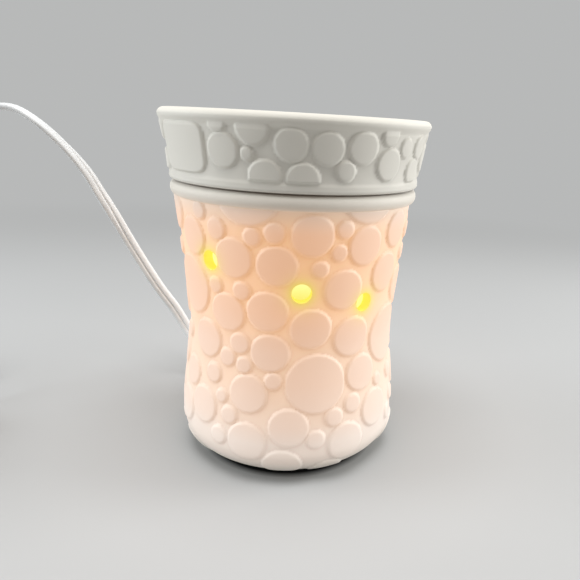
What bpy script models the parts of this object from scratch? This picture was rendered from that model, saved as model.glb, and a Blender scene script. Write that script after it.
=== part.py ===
"""Porcelain wax warmer: a bubbled lamp body, a lift-off wax dish, its bulb and lampholder, and a mains lead.

Metres, +Z up, origin on the table under the middle of the body. The front of the warmer faces -Y.
Angles round the body are in degrees from the front, positive towards +X.
"""
import math
import random

import bmesh
import bpy
import numpy as np
from mathutils import Matrix, Vector
from mathutils.geometry import delaunay_2d_cdt

# Fits
GAP = 0.0003              # between pieces that touch
THREAD_GAP = 0.0004       # between the bulb cap and the lampholder shell
SPIGOT_CLEARANCE = 0.0008  # round the dish spigot in the mouth of the body

# Porcelain body, heights above its own underside
FOOT_LIFT = 0.0020        # underside of the body above the table
BODY_HEIGHT = 0.1215      # up to the seat of the dish
FOOT_RADIUS = 0.0335
BASE_RADIUS = 0.0494
BASE_LEVEL = 0.0140       # height of the widest part of the base
WAIST_RADIUS = 0.0461
WAIST_LEVEL = 0.0600
NECK_RADIUS = 0.0514
NECK_CURVE = 1.3          # how late the neck opens out above the waist
COLLAR_HEIGHT = 0.0062
COLLAR_RADIUS = 0.0537
COLLAR_CREST = 0.0024     # flat seat's edge, in from the outside of the collar
WALL = 0.0045
FLANGE_THICKNESS = 0.0050  # inward flange at the bottom
FLANGE_RECESS = 0.0030
FLANGE_HOLE = 0.0265      # radius
RECESS_RADIUS = 0.0300
INNER_CORNER = 0.0040

# Wax dish, heights above its lower edge
DISH_HEIGHT = 0.0284
LIP_HEIGHT = 0.0044
LIP_RADIUS = 0.0540
LIP_ROUND = 0.0018
BAND_LOW_RADIUS = 0.0536
BAND_HIGH_RADIUS = 0.0563
BAND_CURVE = 1.4          # how late the band flares out below the rim
RIM_RADIUS = 0.0581
RIM_HEIGHT = 0.0062
RIM_ROUND = 0.0028        # outer edge of the rim
RIM_INNER_ROUND = 0.0022
DISH_WALL = 0.0042
SPIGOT_DEPTH = 0.0095
DISH_FLOOR = 0.0052       # thickness
BOWL_CORNER_WIDTH = 0.0280   # of the curve from the wall of the bowl to its floor
BOWL_CORNER_HEIGHT = 0.0165
SPIGOT_CORNER = 0.0020

# Bubbles: (degrees, height, diameter); body heights above its underside, dish heights above its lower edge
BODY_RELIEF = 0.0011
DISH_RELIEF = 0.0009
BUBBLE_EDGE = 0.0016      # width of a bubble's sloping edge
BUBBLE_SPACE = 0.0007     # least gap between bubbles
LARGE = 0.0255
MEDIUM = 0.0166
SMALL = 0.0078
DISH_MEDIUM = 0.0128
DISH_SMALL = 0.0080
BODY_BUBBLES = (
    (-20.0, 0.1218, 0.0262), (34.5, 0.1244, 0.0280), (-59.6, 0.0800, 0.0255), (62.0, 0.0594, 0.0265),
    (13.2, 0.0443, 0.0254),
    (8.3, 0.1063, 0.0166), (34.5, 0.1016, 0.0165), (56.6, 0.1066, 0.0157), (-53.2, 0.1013, 0.0160),
    (-27.7, 0.0955, 0.0165), (-7.2, 0.0939, 0.0162), (51.3, 0.0888, 0.0173), (24.9, 0.0840, 0.0170),
    (-32.7, 0.0725, 0.0162), (-11.6, 0.0749, 0.0169), (9.6, 0.0681, 0.0169), (32.2, 0.0631, 0.0175),
    (-47.9, 0.0584, 0.0167), (-10.2, 0.0574, 0.0160), (39.4, 0.0459, 0.0162), (-61.7, 0.0402, 0.0135),
    (-20.7, 0.0391, 0.0164), (-48.2, 0.0286, 0.0163), (50.0, 0.0275, 0.0175), (0.0, 0.0259, 0.0167),
    (-20.6, 0.0181, 0.0170), (29.8, 0.0167, 0.0175), (-2.9, 0.0076, 0.0170), (21.3, 0.0031, 0.0150),
    (-45.9, 0.1124, 0.0076), (-35.9, 0.1062, 0.0090), (-18.0, 0.1048, 0.0074), (-8.2, 0.1069, 0.0082),
    (22.6, 0.1086, 0.0073), (20.7, 0.0995, 0.0070), (12.3, 0.0930, 0.0070), (-39.0, 0.0829, 0.0070),
    (-24.1, 0.0826, 0.0077), (-26.1, 0.0600, 0.0090), (-33.2, 0.0529, 0.0079), (-23.5, 0.0510, 0.0072),
    (-42.1, 0.0443, 0.0088), (-8.2, 0.0456, 0.0072), (53.4, 0.0395, 0.0060), (-35.6, 0.0356, 0.0060),
    (33.5, 0.0334, 0.0085), (-30.4, 0.0284, 0.0078), (22.7, 0.0291, 0.0082), (13.4, 0.0203, 0.0081),
    (-36.3, 0.0180, 0.0082),
)
DISH_BUBBLES = (
    (-50.5, 0.0137, 0.0300), (-28.4, 0.0142, 0.0132), (-16.0, 0.0227, 0.0127), (-11.7, 0.0059, 0.0124),
    (-1.8, 0.0175, 0.0124), (2.9, 0.0052, 0.0126), (11.8, 0.0166, 0.0122), (25.9, 0.0173, 0.0126),
    (39.8, 0.0114, 0.0128), (58.4, 0.0082, 0.0110), (61.7, 0.0177, 0.0100),
    (-30.0, 0.0240, 0.0082), (-18.4, 0.0135, 0.0054), (19.5, 0.0089, 0.0079), (38.0, 0.0223, 0.0088),
    (49.3, 0.0176, 0.0082),
)
BODY_HAND_PLACED = 62.0   # degrees each side of the front; the rest of the wall is filled by rule
DISH_HAND_PLACED = 60.0
FILL_SEED = 7

# Light holes: (degrees, height)
LIGHT_HOLE = 0.0080       # diameter
LIGHT_HOLES = (
    (-42.0, 0.0927), (4.4, 0.0831), (38.5, 0.0773), (86.0, 0.0900), (131.0, 0.0800),
    (176.0, 0.0910), (-138.0, 0.0830), (-92.0, 0.0850),
)

# Bottom cover, base plate and their fixings
SHEET = 0.0012            # steel sheet
COVER_CLEARANCE = 0.0005  # round the cover in its recess
PLATE_OVERLAP = 0.0105    # base plate past the flange hole
FOOT_DIAMETER = 0.0090
FOOT_CIRCLE = 0.0225      # radius that the feet stand on
FOOT_COUNT = 4
SCREW_RADIUS = 0.0019
SCREW_HEAD_RADIUS = 0.0034
SCREW_HEAD = 0.0018
SCREW_CIRCLE = 0.0230
SCREW_COUNT = 2
NUT_RADIUS = 0.0040
NUT_HEIGHT = 0.0030
VENT_RADIUS = 0.0025
VENT_COUNT = 6
VENT_CIRCLE = 0.0125

# Lampholder
NIPPLE_RADIUS = 0.0048
NIPPLE_BORE = 0.0032
NIPPLE_STEP = 0.0067      # how far it reaches into the lampholder
LOCK_NUT_RADIUS = 0.0085
LOCK_NUT_HEIGHT = 0.0028
HOLDER_RADIUS = 0.0180
HOLDER_HEIGHT = 0.0280
HOLDER_FLOOR = 0.0088
SHELL_WALL = 0.0005
CONTACT_RADIUS = 0.0045
CONTACT_HEIGHT = 0.0012
TERMINAL_RADIUS = 0.0026
TERMINAL_HEAD = 0.0012
TERMINAL_SHANK = 0.0013
TERMINAL_DEPTH = 0.0030
TERMINAL_LEVEL = 0.0050   # above the lampholder's underside
TERMINAL_SPREAD = 32.0    # degrees each side of the lead
LEAD_DIAMETER = 0.0022

# Bulb
CAP_RADIUS = 0.0124       # middle of the thread
CAP_LENGTH = 0.0240
CAP_WALL = 0.0010
THREAD_PITCH = 0.0036
THREAD_DEPTH = 0.0003     # each side of the middle
GLOBE_RADIUS = 0.0250
GLOBE_RISE = 0.0245       # middle of the globe above the top of the cap
GLASS_WALL = 0.0009
TIP_RADIUS = 0.0032
TIP_HEIGHT = 0.0015
INSULATOR_HEIGHT = 0.0060
INSULATOR_SEAT = 0.0032   # of its height inside the cap
STEM_RADIUS = 0.0040
STEM_HEIGHT = 0.0270
FILAMENT_WIRE = 0.0008

# Mains lead: exit through the wall, then the route in the air and on the table
LEAD_WIDTH = 0.0064
EXIT_ANGLE = -140.0
EXIT_HEIGHT = 0.0190      # above the underside of the body
BOOT_NECK = 0.0049
BOOT_FLANGE_RADIUS = 0.0075
BOOT_FLANGE = 0.0020
BOOT_LENGTH = 0.0200      # tapered part
BOOT_THICK = 0.0058
BOOT_THIN = 0.0043
BOOT_RIBS = 4
RING_HEIGHT = 0.0024
RING_CLEARANCE = 0.0007   # between the ring and the curved inside of the wall
RISE_ROUTE = (
    (-0.0563, 0.0650, 0.0236), (-0.0615, 0.0688, 0.0298), (-0.0677, 0.0702, 0.0407),
    (-0.0763, 0.0690, 0.0545), (-0.0871, 0.0660, 0.0754), (-0.0963, 0.0620, 0.0954),
    (-0.1022, 0.0590, 0.1078), (-0.1075, 0.0560, 0.1193), (-0.1152, 0.0520, 0.1313),
    (-0.1255, 0.0475, 0.1430), (-0.1380, 0.0470, 0.1500), (-0.1515, 0.0480, 0.1475),
    (-0.1620, 0.0495, 0.1380), (-0.1675, 0.0510, 0.1220), (-0.1700, 0.0520, 0.1000),
    (-0.1700, 0.0520, 0.0750), (-0.1700, 0.0490, 0.0500), (-0.1700, 0.0410, 0.0290),
    (-0.1700, 0.0290, 0.0150),
)

# Inline switch, lying along Y
SWITCH_X = -0.1700
SWITCH_FROM = 0.0100      # its back end
SWITCH_LENGTH = 0.0600
SWITCH_WIDTH = 0.0200
SWITCH_HEIGHT = 0.0156
SWITCH_SPLIT = 0.0080     # height of the joint between its halves
SWITCH_CORNER = 0.0080
SWITCH_EDGE = 0.0015
WHEEL_LEVEL = 0.0100
WHEEL_RADIUS = 0.0078
WHEEL_WIDTH = 0.0060
WHEEL_TEETH = 20
WHEEL_KNURL = 0.0004
AXLE_RADIUS = 0.0013
AXLE_LENGTH = 0.0130
SWITCH_SCREW_PLACE = 0.0200  # each side of the middle
SWITCH_SCREW_RADIUS = 0.0011
SWITCH_SCREW_HEAD = 0.0023
SWITCH_SCREW_SUNK = 0.0020

# Coil, its tie, and the plug
COIL_X = -0.2300
COIL_Y = -0.0375
COIL_INNER = 0.0260       # radius of the tightest turn
COIL_PITCH = 0.0070       # from turn to turn and from layer to layer
COIL_TURNS = 5.25
LOOP_POINTS = 24
TIE_THICKNESS = 0.0009
TIE_WIDTH = 0.0070
TIE_ANGLE = 35.0          # degrees round the coil from +X
PLUG_X = -0.2640
PLUG_FROM = 0.0200
PLUG_LENGTH = 0.0300
PLUG_WIDTH = 0.0230
PLUG_THICKNESS = 0.0150
BLADE_LENGTH = 0.0170
BLADE_WIDTH = 0.0063
BLADE_THICKNESS = 0.0015
BLADE_SPACING = 0.0127

# Fineness
COLUMNS = 48              # round the porcelain
ROUND = 24                # round a turned piece
SMALL_ROUND = 12          # round a small turned piece
GROUND_STEP = 0.0120      # between points of the plain wall
INSIDE_STEPS = 9          # points down the inside of the body wall

# Heights that follow from the sizes above, in the frame of the table
UNDERSIDE = FOOT_LIFT
SEAT = UNDERSIDE + BODY_HEIGHT
DISH_EDGE = SEAT + GAP
FLANGE_LOW = UNDERSIDE + FLANGE_RECESS
FLANGE_TOP = FLANGE_LOW + FLANGE_THICKNESS
COVER_TOP = FLANGE_LOW - GAP
COVER_LOW = COVER_TOP - SHEET
PLATE_LOW = FLANGE_TOP + GAP
PLATE_TOP = PLATE_LOW + SHEET
HOLDER_LOW = PLATE_TOP + GAP
HOLDER_TOP = HOLDER_LOW + HOLDER_HEIGHT
CONTACT_LOW = HOLDER_LOW + HOLDER_FLOOR + GAP
TIP_LOW = CONTACT_LOW + CONTACT_HEIGHT + GAP
INSULATOR_LOW = TIP_LOW + TIP_HEIGHT + GAP
CAP_LOW = INSULATOR_LOW + INSULATOR_HEIGHT - INSULATOR_SEAT
CAP_TOP = CAP_LOW + CAP_LENGTH
GLOBE_LEVEL = CAP_TOP + GLOBE_RISE
EXIT_LEVEL = UNDERSIDE + EXIT_HEIGHT
COIL_LOW = LEAD_WIDTH / 2 + TIE_THICKNESS + 2 * GAP
COIL_OUTER = COIL_INNER + COIL_PITCH * COIL_TURNS / 2
TERMINAL_ANGLES = (EXIT_ANGLE - TERMINAL_SPREAD, EXIT_ANGLE + TERMINAL_SPREAD)


def clear_scene():
    for thing in list(bpy.data.objects):
        bpy.data.objects.remove(thing, do_unlink=True)


def material(name, colour, roughness, metallic=0.0):
    made = bpy.data.materials.new(name)
    made.use_nodes = True
    shader = made.node_tree.nodes["Principled BSDF"]
    shader.inputs["Base Color"].default_value = (*colour, 1.0)
    shader.inputs["Roughness"].default_value = roughness
    shader.inputs["Metallic"].default_value = metallic
    return made


def add_object(name, mesh, finish, pivot=(0.0, 0.0, 0.0)):
    """Link a mesh made in the frame of the table as an object whose origin is at pivot."""
    mesh.transform(Matrix.Translation(-Vector(pivot)))
    mesh.shade_smooth()
    mesh.set_sharp_from_angle(angle=math.radians(35.0))
    mesh.materials.append(finish)
    made = bpy.data.objects.new(name, mesh)
    made.location = pivot
    bpy.context.scene.collection.objects.link(made)
    return made


def add_piece(name, bm, finish, pivot=(0.0, 0.0, 0.0)):
    mesh = bpy.data.meshes.new(name)
    bm.to_mesh(mesh)
    bm.free()
    return add_object(name, mesh, finish, pivot)


def carve(target, name, *tools):
    """Cut closed shapes, none touching another, out of a piece."""
    whole = bmesh.new()
    mesh = bpy.data.meshes.new(name)
    for tool in tools:
        tool.to_mesh(mesh)
        tool.free()
        whole.from_mesh(mesh)
    whole.to_mesh(mesh)
    whole.free()
    mesh.transform(Matrix.Translation(-target.location))
    cutter = bpy.data.objects.new(name, mesh)
    cutter.location = target.location
    cutter.hide_render = True
    cutter.display_type = "WIRE"
    bpy.context.scene.collection.objects.link(cutter)
    cut = target.modifiers.new(name, "BOOLEAN")
    cut.operation = "DIFFERENCE"
    cut.solver = "EXACT"
    cut.object = cutter


def turned(profile, sides, ring=False, place=None):
    """Turn a profile of (radius, height) about Z; ring=True joins its last point to its first."""
    bm = bmesh.new()
    points = [bm.verts.new((radius, 0.0, height)) for radius, height in profile]
    pairs = list(zip(points, points[1:]))
    if ring:
        pairs.append((points[-1], points[0]))
    edges = [bm.edges.new(pair) for pair in pairs if max(point.co.x for point in pair) > 0.0]
    bmesh.ops.spin(bm, geom=points + edges, cent=(0, 0, 0), axis=(0, 0, 1), dvec=(0, 0, 0),
                   angle=math.tau, steps=sides, use_merge=True, use_duplicate=False)
    bmesh.ops.remove_doubles(bm, verts=bm.verts, dist=1e-6)
    bmesh.ops.recalc_face_normals(bm, faces=bm.faces)
    if place is not None:
        bmesh.ops.transform(bm, matrix=place, verts=bm.verts)
    return bm


def rod(radius, low, high, sides, place=None):
    return turned([(0, low), (radius, low), (radius, high), (0, high)], sides, place=place)


def pipe(inner, outer, low, high, sides, place=None):
    return turned([(inner, low), (outer, low), (outer, high), (inner, high)], sides, True, place)


def block(size, centre):
    bm = bmesh.new()
    bmesh.ops.create_cube(bm, size=1.0)
    bmesh.ops.transform(bm, matrix=Matrix.Translation(centre) @ Matrix.Diagonal((*size, 1.0)), verts=bm.verts)
    return bm


def stacked(loops):
    """A closed solid through equal loops of points, each a ring in order, with flat ends."""
    bm = bmesh.new()
    rings = [[bm.verts.new(point) for point in loop] for loop in loops]
    for low, high in zip(rings, rings[1:]):
        for i, corner in enumerate(low):
            j = (i + 1) % len(low)
            bm.faces.new((corner, low[j], high[j], high[i]))
    bm.faces.new(rings[0][::-1])
    bm.faces.new(rings[-1])
    bmesh.ops.recalc_face_normals(bm, faces=bm.faces)
    return bm


def spot(degrees, radius, height):
    """The point at an angle from the front, a distance from the axis and a height."""
    turn = math.radians(degrees)
    return Vector((radius * math.sin(turn), -radius * math.cos(turn), height))


def outward(degrees, height):
    """A frame on the axis at a height, whose Z points out at an angle from the front."""
    turn = spot(degrees, 1.0, 0.0).to_track_quat("Z", "Y").to_matrix().to_4x4()
    return Matrix.Translation((0.0, 0.0, height)) @ turn


def upright(x, y):
    return Matrix.Translation((x, y, 0.0))


def arc(centre, half_width, half_height, start, end, steps):
    """Points of (radius, height) on an ellipse, from one angle to another in degrees."""
    turns = [math.radians(start + (end - start) * i / steps) for i in range(steps + 1)]
    return [(centre[0] + half_width * math.cos(a), centre[1] + half_height * math.sin(a)) for a in turns]


def wall_radius(height):
    """Outer radius of the plain body wall at a height above its underside."""
    neck = BODY_HEIGHT - COLLAR_HEIGHT
    if height < BASE_LEVEL:
        drop = (BASE_LEVEL - height) / BASE_LEVEL
        return FOOT_RADIUS + (BASE_RADIUS - FOOT_RADIUS) * math.sqrt(1.0 - drop * drop)
    if height < WAIST_LEVEL:
        share = (height - BASE_LEVEL) / (WAIST_LEVEL - BASE_LEVEL)
        return WAIST_RADIUS + (BASE_RADIUS - WAIST_RADIUS) * (0.5 + 0.5 * math.cos(math.pi * share))
    share = (height - WAIST_LEVEL) / (neck - WAIST_LEVEL)
    return WAIST_RADIUS + (NECK_RADIUS - WAIST_RADIUS) * share ** NECK_CURVE


def band_radius(height):
    """Outer radius of the plain dish band at a height above the dish's lower edge."""
    share = (height - LIP_HEIGHT) / (DISH_HEIGHT - RIM_HEIGHT - LIP_HEIGHT)
    return BAND_LOW_RADIUS + (BAND_HIGH_RADIUS - BAND_LOW_RADIUS) * share ** BAND_CURVE


class Wall:
    """A turned outer wall as a polyline of (radius, height), read by height or by the run along it."""

    def __init__(self, outline):
        self.radius, self.height = np.array(outline).T
        steps = np.hypot(np.diff(self.radius), np.diff(self.height))
        self.run = np.concatenate([[0.0], np.cumsum(steps)])

    def run_at(self, height):
        """Run at a height; past either end it goes on as far as the height does."""
        beyond = min(height - self.height[0], 0.0) + max(height - self.height[-1], 0.0)
        return float(np.interp(height, self.height, self.run)) + beyond

    def radius_at(self, run):
        return np.interp(run, self.run, self.radius)

    def height_at(self, run):
        return np.interp(run, self.run, self.height)


def body_wall():
    rounding = arc((FOOT_RADIUS, BASE_LEVEL), BASE_RADIUS - FOOT_RADIUS, BASE_LEVEL, -90.0, 0.0, 10)
    heights = np.linspace(BASE_LEVEL, BODY_HEIGHT - COLLAR_HEIGHT, 40)[1:]
    return Wall(rounding + [(wall_radius(h), h) for h in heights])


def dish_wall():
    heights = np.linspace(LIP_HEIGHT, DISH_HEIGHT - RIM_HEIGHT, 6)
    return Wall([(band_radius(h), h) for h in heights])


def placed_bubbles(wall, listed):
    """Bubbles as rows of (turn in radians, run up the wall, radius, wall radius there)."""
    rows = []
    for degrees, height, diameter in listed:
        run = wall.run_at(height)
        rows.append((math.radians(degrees), run, diameter / 2, float(wall.radius_at(run))))
    return rows


def filled_bubbles(wall, rows, keep_clear, half_angle, sizes):
    """Add bubbles behind the hand-placed ones: tries at seeded places, large ones first, where one fits."""
    dice = random.Random(FILL_SEED)
    rows = list(rows)
    for diameter, tries in sizes:
        radius = diameter / 2
        for _ in range(tries):
            turn = math.radians(dice.uniform(half_angle, 360.0 - half_angle))
            turn = turn if turn < math.pi else turn - math.tau
            run = dice.uniform(0.0, float(wall.run[-1]))
            girth = float(wall.radius_at(run))
            if (math.pi - abs(turn)) * girth < radius + BUBBLE_SPACE:
                continue
            if all(clearance(turn, run, girth, row) > radius + row[2] + BUBBLE_SPACE for row in rows + keep_clear):
                rows.append((turn, run, radius, girth))
    return rows


def clearance(turn, run, girth, row):
    across = abs(turn - row[0])
    across = min(across, math.tau - across)
    return math.hypot(across * (girth + row[3]) / 2, run - row[1])


def relief(turns, runs, rows, depth):
    """Height of the bubbles above the plain wall: full inside, sloping to nothing over the edge."""
    raised = np.zeros(len(turns))
    for turn, run, radius, girth in rows:
        away = np.hypot((turns - turn) * girth, runs - run)
        raised = np.maximum(raised, depth * np.clip((radius - away) / BUBBLE_EDGE, 0.0, 1.0))
    return raised


def bubble_points(row, girth, top):
    """The foot ring, the top ring and the inner points of a bubble, flattened to (turn x girth, run)."""
    turn, run, radius, local = row
    sides = min(max(round(radius / 0.0010), 6), 12)
    rings = []
    for size in (radius, radius - BUBBLE_EDGE):
        angles = [math.tau * i / sides for i in range(sides)]
        ring = [((turn + size * math.cos(a) / local) * girth, run + size * math.sin(a)) for a in angles]
        rings.append([point for point in ring if GAP < point[1] < top - GAP])
    inner = [(turn * girth, run)] if sides > 6 and GAP < run < top - GAP else []
    return rings, inner, sides


def wall_sheet(wall, rows, depth, base):
    """Vertices, faces and the two end rows of a bubbled wall, triangulated round every bubble's rings."""
    top = float(wall.run[-1])
    girth = float(np.mean(wall.radius))
    columns = [(-math.pi + math.tau * i / COLUMNS) * girth for i in range(COLUMNS + 1)]
    levels = np.linspace(0.0, top, max(round(top / GROUND_STEP), 2) + 1)
    points = []
    edges = []
    for level in (0.0, top):
        points += [(x, level) for x in columns]
    seam = {}
    for level in levels[1:-1]:
        seam[len(points)] = len(points) + 1
        points += [(columns[0], level), (columns[-1], level)]
    for level in levels[1:-1]:
        for x in columns[1:-1]:
            apart = [math.hypot((x / girth - row[0]) * row[3], level - row[1]) - row[2] for row in rows]
            if min(apart, default=1.0) > BUBBLE_EDGE:
                points.append((x, level))
    for row in rows:
        rings, inner, sides = bubble_points(row, girth, top)
        for ring in rings:
            first = len(points)
            points += ring
            whole = len(ring) == sides
            edges += [(first + i, first + (i + 1) % sides) for i in range(sides if whole else 0)]
        points += inner
    found = delaunay_2d_cdt([Vector(p) for p in points], edges, [], 0, 1e-7)
    flat, faces, sources = found[0], found[2], found[3]
    number = {}
    for out, given in enumerate(sources):
        for i in given:
            number[i] = out
    twin = {number[right]: number[left] for left, right in seam.items()}
    twin[number[COLUMNS]] = number[0]
    twin[number[2 * COLUMNS + 1]] = number[COLUMNS + 1]
    turns = np.array([p[0] for p in flat]) / girth
    runs = np.array([p[1] for p in flat])
    radii = wall.radius_at(runs) + relief(turns, runs, rows, depth)
    heights = wall.height_at(runs) + base
    places = np.stack([radii * np.sin(turns), -radii * np.cos(turns), heights], axis=1)
    faces = [[twin.get(i, i) for i in face] for face in faces]
    low_row = [number[i] for i in range(COLUMNS)]
    high_row = [number[COLUMNS + 1 + i] for i in range(COLUMNS)]
    return places.tolist(), faces, low_row, high_row


def wrapped(name, sheet, chains, finish, pivot=(0.0, 0.0, 0.0)):
    """Close a bubbled wall with turned rows. A chain is (from row, profile, to row); a missing row is a pole."""
    places, faces, low_row, high_row = sheet
    rows = {"low": low_row, "high": high_row}

    def ring(radius, height):
        first = len(places)
        for i in range(COLUMNS):
            places.append(tuple(spot(-180.0 + 360.0 * i / COLUMNS, radius, height)))
        return list(range(first, first + COLUMNS))

    def pole(height):
        places.append((0.0, 0.0, height))
        return [len(places) - 1] * COLUMNS

    for start, profile, end in chains:
        made = [rows[start]] if start else []
        made += [ring(*point) if point[0] > 0.0 else pole(point[1]) for point in profile]
        made += [rows[end]] if end else []
        for low, high in zip(made, made[1:]):
            for i in range(COLUMNS):
                j = (i + 1) % COLUMNS
                corners = [low[i], low[j], high[j], high[i]]
                faces.append([c for k, c in enumerate(corners) if c not in corners[:k]])
    used = sorted({i for face in faces for i in face})
    fresh = {old: new for new, old in enumerate(used)}
    mesh = bpy.data.meshes.new(name)
    mesh.from_pydata([places[i] for i in used], [], [[fresh[i] for i in face] for face in faces])
    return add_object(name, mesh, finish, pivot)


def smooth_route(start, points, end, spacing):
    """A straight stub from start, even steps on a smooth curve (Catmull-Rom) through points, a stub to end."""
    given = np.array([start, *points, end], float)
    fine = []
    for p0, p1, p2, p3 in zip(given, given[1:], given[2:], given[3:]):
        u = np.linspace(0.0, 1.0, 24, endpoint=False)[:, None]
        bend = (2 * p0 - 5 * p1 + 4 * p2 - p3) * u + (3 * p1 - 3 * p2 + p3 - p0) * u * u
        fine.append(p1 + 0.5 * u * ((p2 - p0) + bend))
    fine = np.vstack(fine + [given[-2:-1]])
    run = np.concatenate([[0.0], np.cumsum(np.linalg.norm(np.diff(fine, axis=0), axis=1))])
    marks = np.linspace(0.0, run[-1], max(round(run[-1] / spacing), 2) + 1)
    curve = np.stack([np.interp(marks, run, fine[:, k]) for k in range(3)], axis=1)
    return np.vstack([given[:1], curve, given[-1:]])


def tube(name, points, diameter, resolution, finish):
    curve = bpy.data.curves.new(name, "CURVE")
    curve.dimensions = "3D"
    curve.bevel_depth = diameter / 2
    curve.bevel_resolution = resolution
    curve.use_fill_caps = True
    spline = curve.splines.new("POLY")
    spline.points.add(len(points) - 1)
    for point, place in zip(spline.points, points):
        point.co = (*place, 1.0)
    curve.materials.append(finish)
    made = bpy.data.objects.new(name, curve)
    bpy.context.scene.collection.objects.link(made)
    return made


def tube_length(points):
    return float(np.linalg.norm(np.diff(np.array(points), axis=0), axis=1).sum())


def inside_outline():
    """The inside of the body wall from the neck down to the base, as points of (radius, height)."""
    heights = np.linspace(BODY_HEIGHT - COLLAR_HEIGHT, BASE_LEVEL, INSIDE_STEPS)
    return [(wall_radius(h) - WALL, h) for h in heights]


def make_body(finish):
    wall = body_wall()
    holes = [(d, h, LIGHT_HOLE) for d, h in LIGHT_HOLES]
    exit_clear = (EXIT_ANGLE, EXIT_HEIGHT, 2 * BOOT_FLANGE_RADIUS + 2 * GAP)
    keep_clear = placed_bubbles(wall, holes + [exit_clear])
    rows = placed_bubbles(wall, BODY_BUBBLES)
    sizes = ((LARGE, 60), (MEDIUM, 1500), (SMALL, 1500))
    rows = filled_bubbles(wall, rows, keep_clear, BODY_HAND_PLACED, sizes)
    sheet = wall_sheet(wall, rows, BODY_RELIEF, UNDERSIDE)
    half = COLLAR_HEIGHT / 2
    crest = COLLAR_RADIUS - COLLAR_CREST
    collar = arc((crest, SEAT - half), COLLAR_CREST, half, -60.0, 90.0, 5)
    mouth = NECK_RADIUS - WALL
    inner = [(r, UNDERSIDE + h) for r, h in inside_outline()]
    corner = (wall_radius(BASE_LEVEL) - WALL - INNER_CORNER, FLANGE_TOP + INNER_CORNER)
    inner += arc(corner, INNER_CORNER, INNER_CORNER, -30.0, -90.0, 2)
    below = [(FLANGE_HOLE, FLANGE_TOP), (FLANGE_HOLE, FLANGE_LOW), (RECESS_RADIUS, FLANGE_LOW),
             (RECESS_RADIUS, UNDERSIDE)]
    profile = collar + [(mouth + GAP, SEAT), (mouth, SEAT - GAP)] + inner + below
    body = wrapped("body", sheet, [("high", profile, "low")], finish)
    reach = COLLAR_RADIUS + WALL
    tools = [rod(LIGHT_HOLE / 2, WAIST_RADIUS / 2, reach, SMALL_ROUND, outward(d, UNDERSIDE + h))
             for d, h in LIGHT_HOLES]
    tools.append(rod(BOOT_NECK + GAP, WAIST_RADIUS / 2, reach, SMALL_ROUND, outward(EXIT_ANGLE, EXIT_LEVEL)))
    carve(body, "body_holes", *tools)


def make_dish(finish):
    wall = dish_wall()
    rows = placed_bubbles(wall, DISH_BUBBLES)
    sizes = ((DISH_MEDIUM, 300), (DISH_SMALL, 300))
    rows = filled_bubbles(wall, rows, [], DISH_HAND_PLACED, sizes)
    sheet = wall_sheet(wall, rows, DISH_RELIEF, DISH_EDGE)
    inside = BAND_HIGH_RADIUS - DISH_WALL
    top = DISH_EDGE + DISH_HEIGHT
    widest = top - RIM_ROUND
    rim = [((BAND_HIGH_RADIUS + RIM_RADIUS) / 2, (top - RIM_HEIGHT + widest) / 2)]
    rim += arc((RIM_RADIUS - RIM_ROUND, widest), RIM_ROUND, RIM_ROUND, 0.0, 90.0, 4)
    inner = RIM_INNER_ROUND
    rim += arc((inside + inner, top - inner), inner, inner, 90.0, 180.0, 2)
    floor = DISH_EDGE - SPIGOT_DEPTH + DISH_FLOOR
    low = band_radius(LIP_HEIGHT) - DISH_WALL
    corner = (low - BOWL_CORNER_WIDTH, floor + BOWL_CORNER_HEIGHT)
    bowl = arc(corner, BOWL_CORNER_WIDTH, BOWL_CORNER_HEIGHT, 0.0, -90.0, 6)
    spigot = NECK_RADIUS - WALL - SPIGOT_CLEARANCE
    bottom = DISH_EDGE - SPIGOT_DEPTH
    foot = arc((spigot - SPIGOT_CORNER, bottom + SPIGOT_CORNER), SPIGOT_CORNER, SPIGOT_CORNER, -90.0, 0.0, 2)
    lip = arc((LIP_RADIUS - LIP_ROUND, DISH_EDGE + LIP_ROUND), LIP_ROUND, LIP_ROUND, -90.0, 0.0, 3)
    lip.append((LIP_RADIUS, DISH_EDGE + LIP_HEIGHT - (LIP_RADIUS - BAND_LOW_RADIUS)))
    chains = [("high", rim + bowl + [(0.0, floor)], None),
              (None, [(0.0, bottom)] + foot + [(spigot, DISH_EDGE)] + lip, "low")]
    wrapped("dish", sheet, chains, finish, (0.0, 0.0, DISH_EDGE))


def screw_angles():
    return [90.0 + 360.0 * i / SCREW_COUNT for i in range(SCREW_COUNT)]


def vertical_rods(radius, circle, angles, low, high):
    return [rod(radius, low, high, SMALL_ROUND, Matrix.Translation(spot(a, circle, 0.0))) for a in angles]


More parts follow.
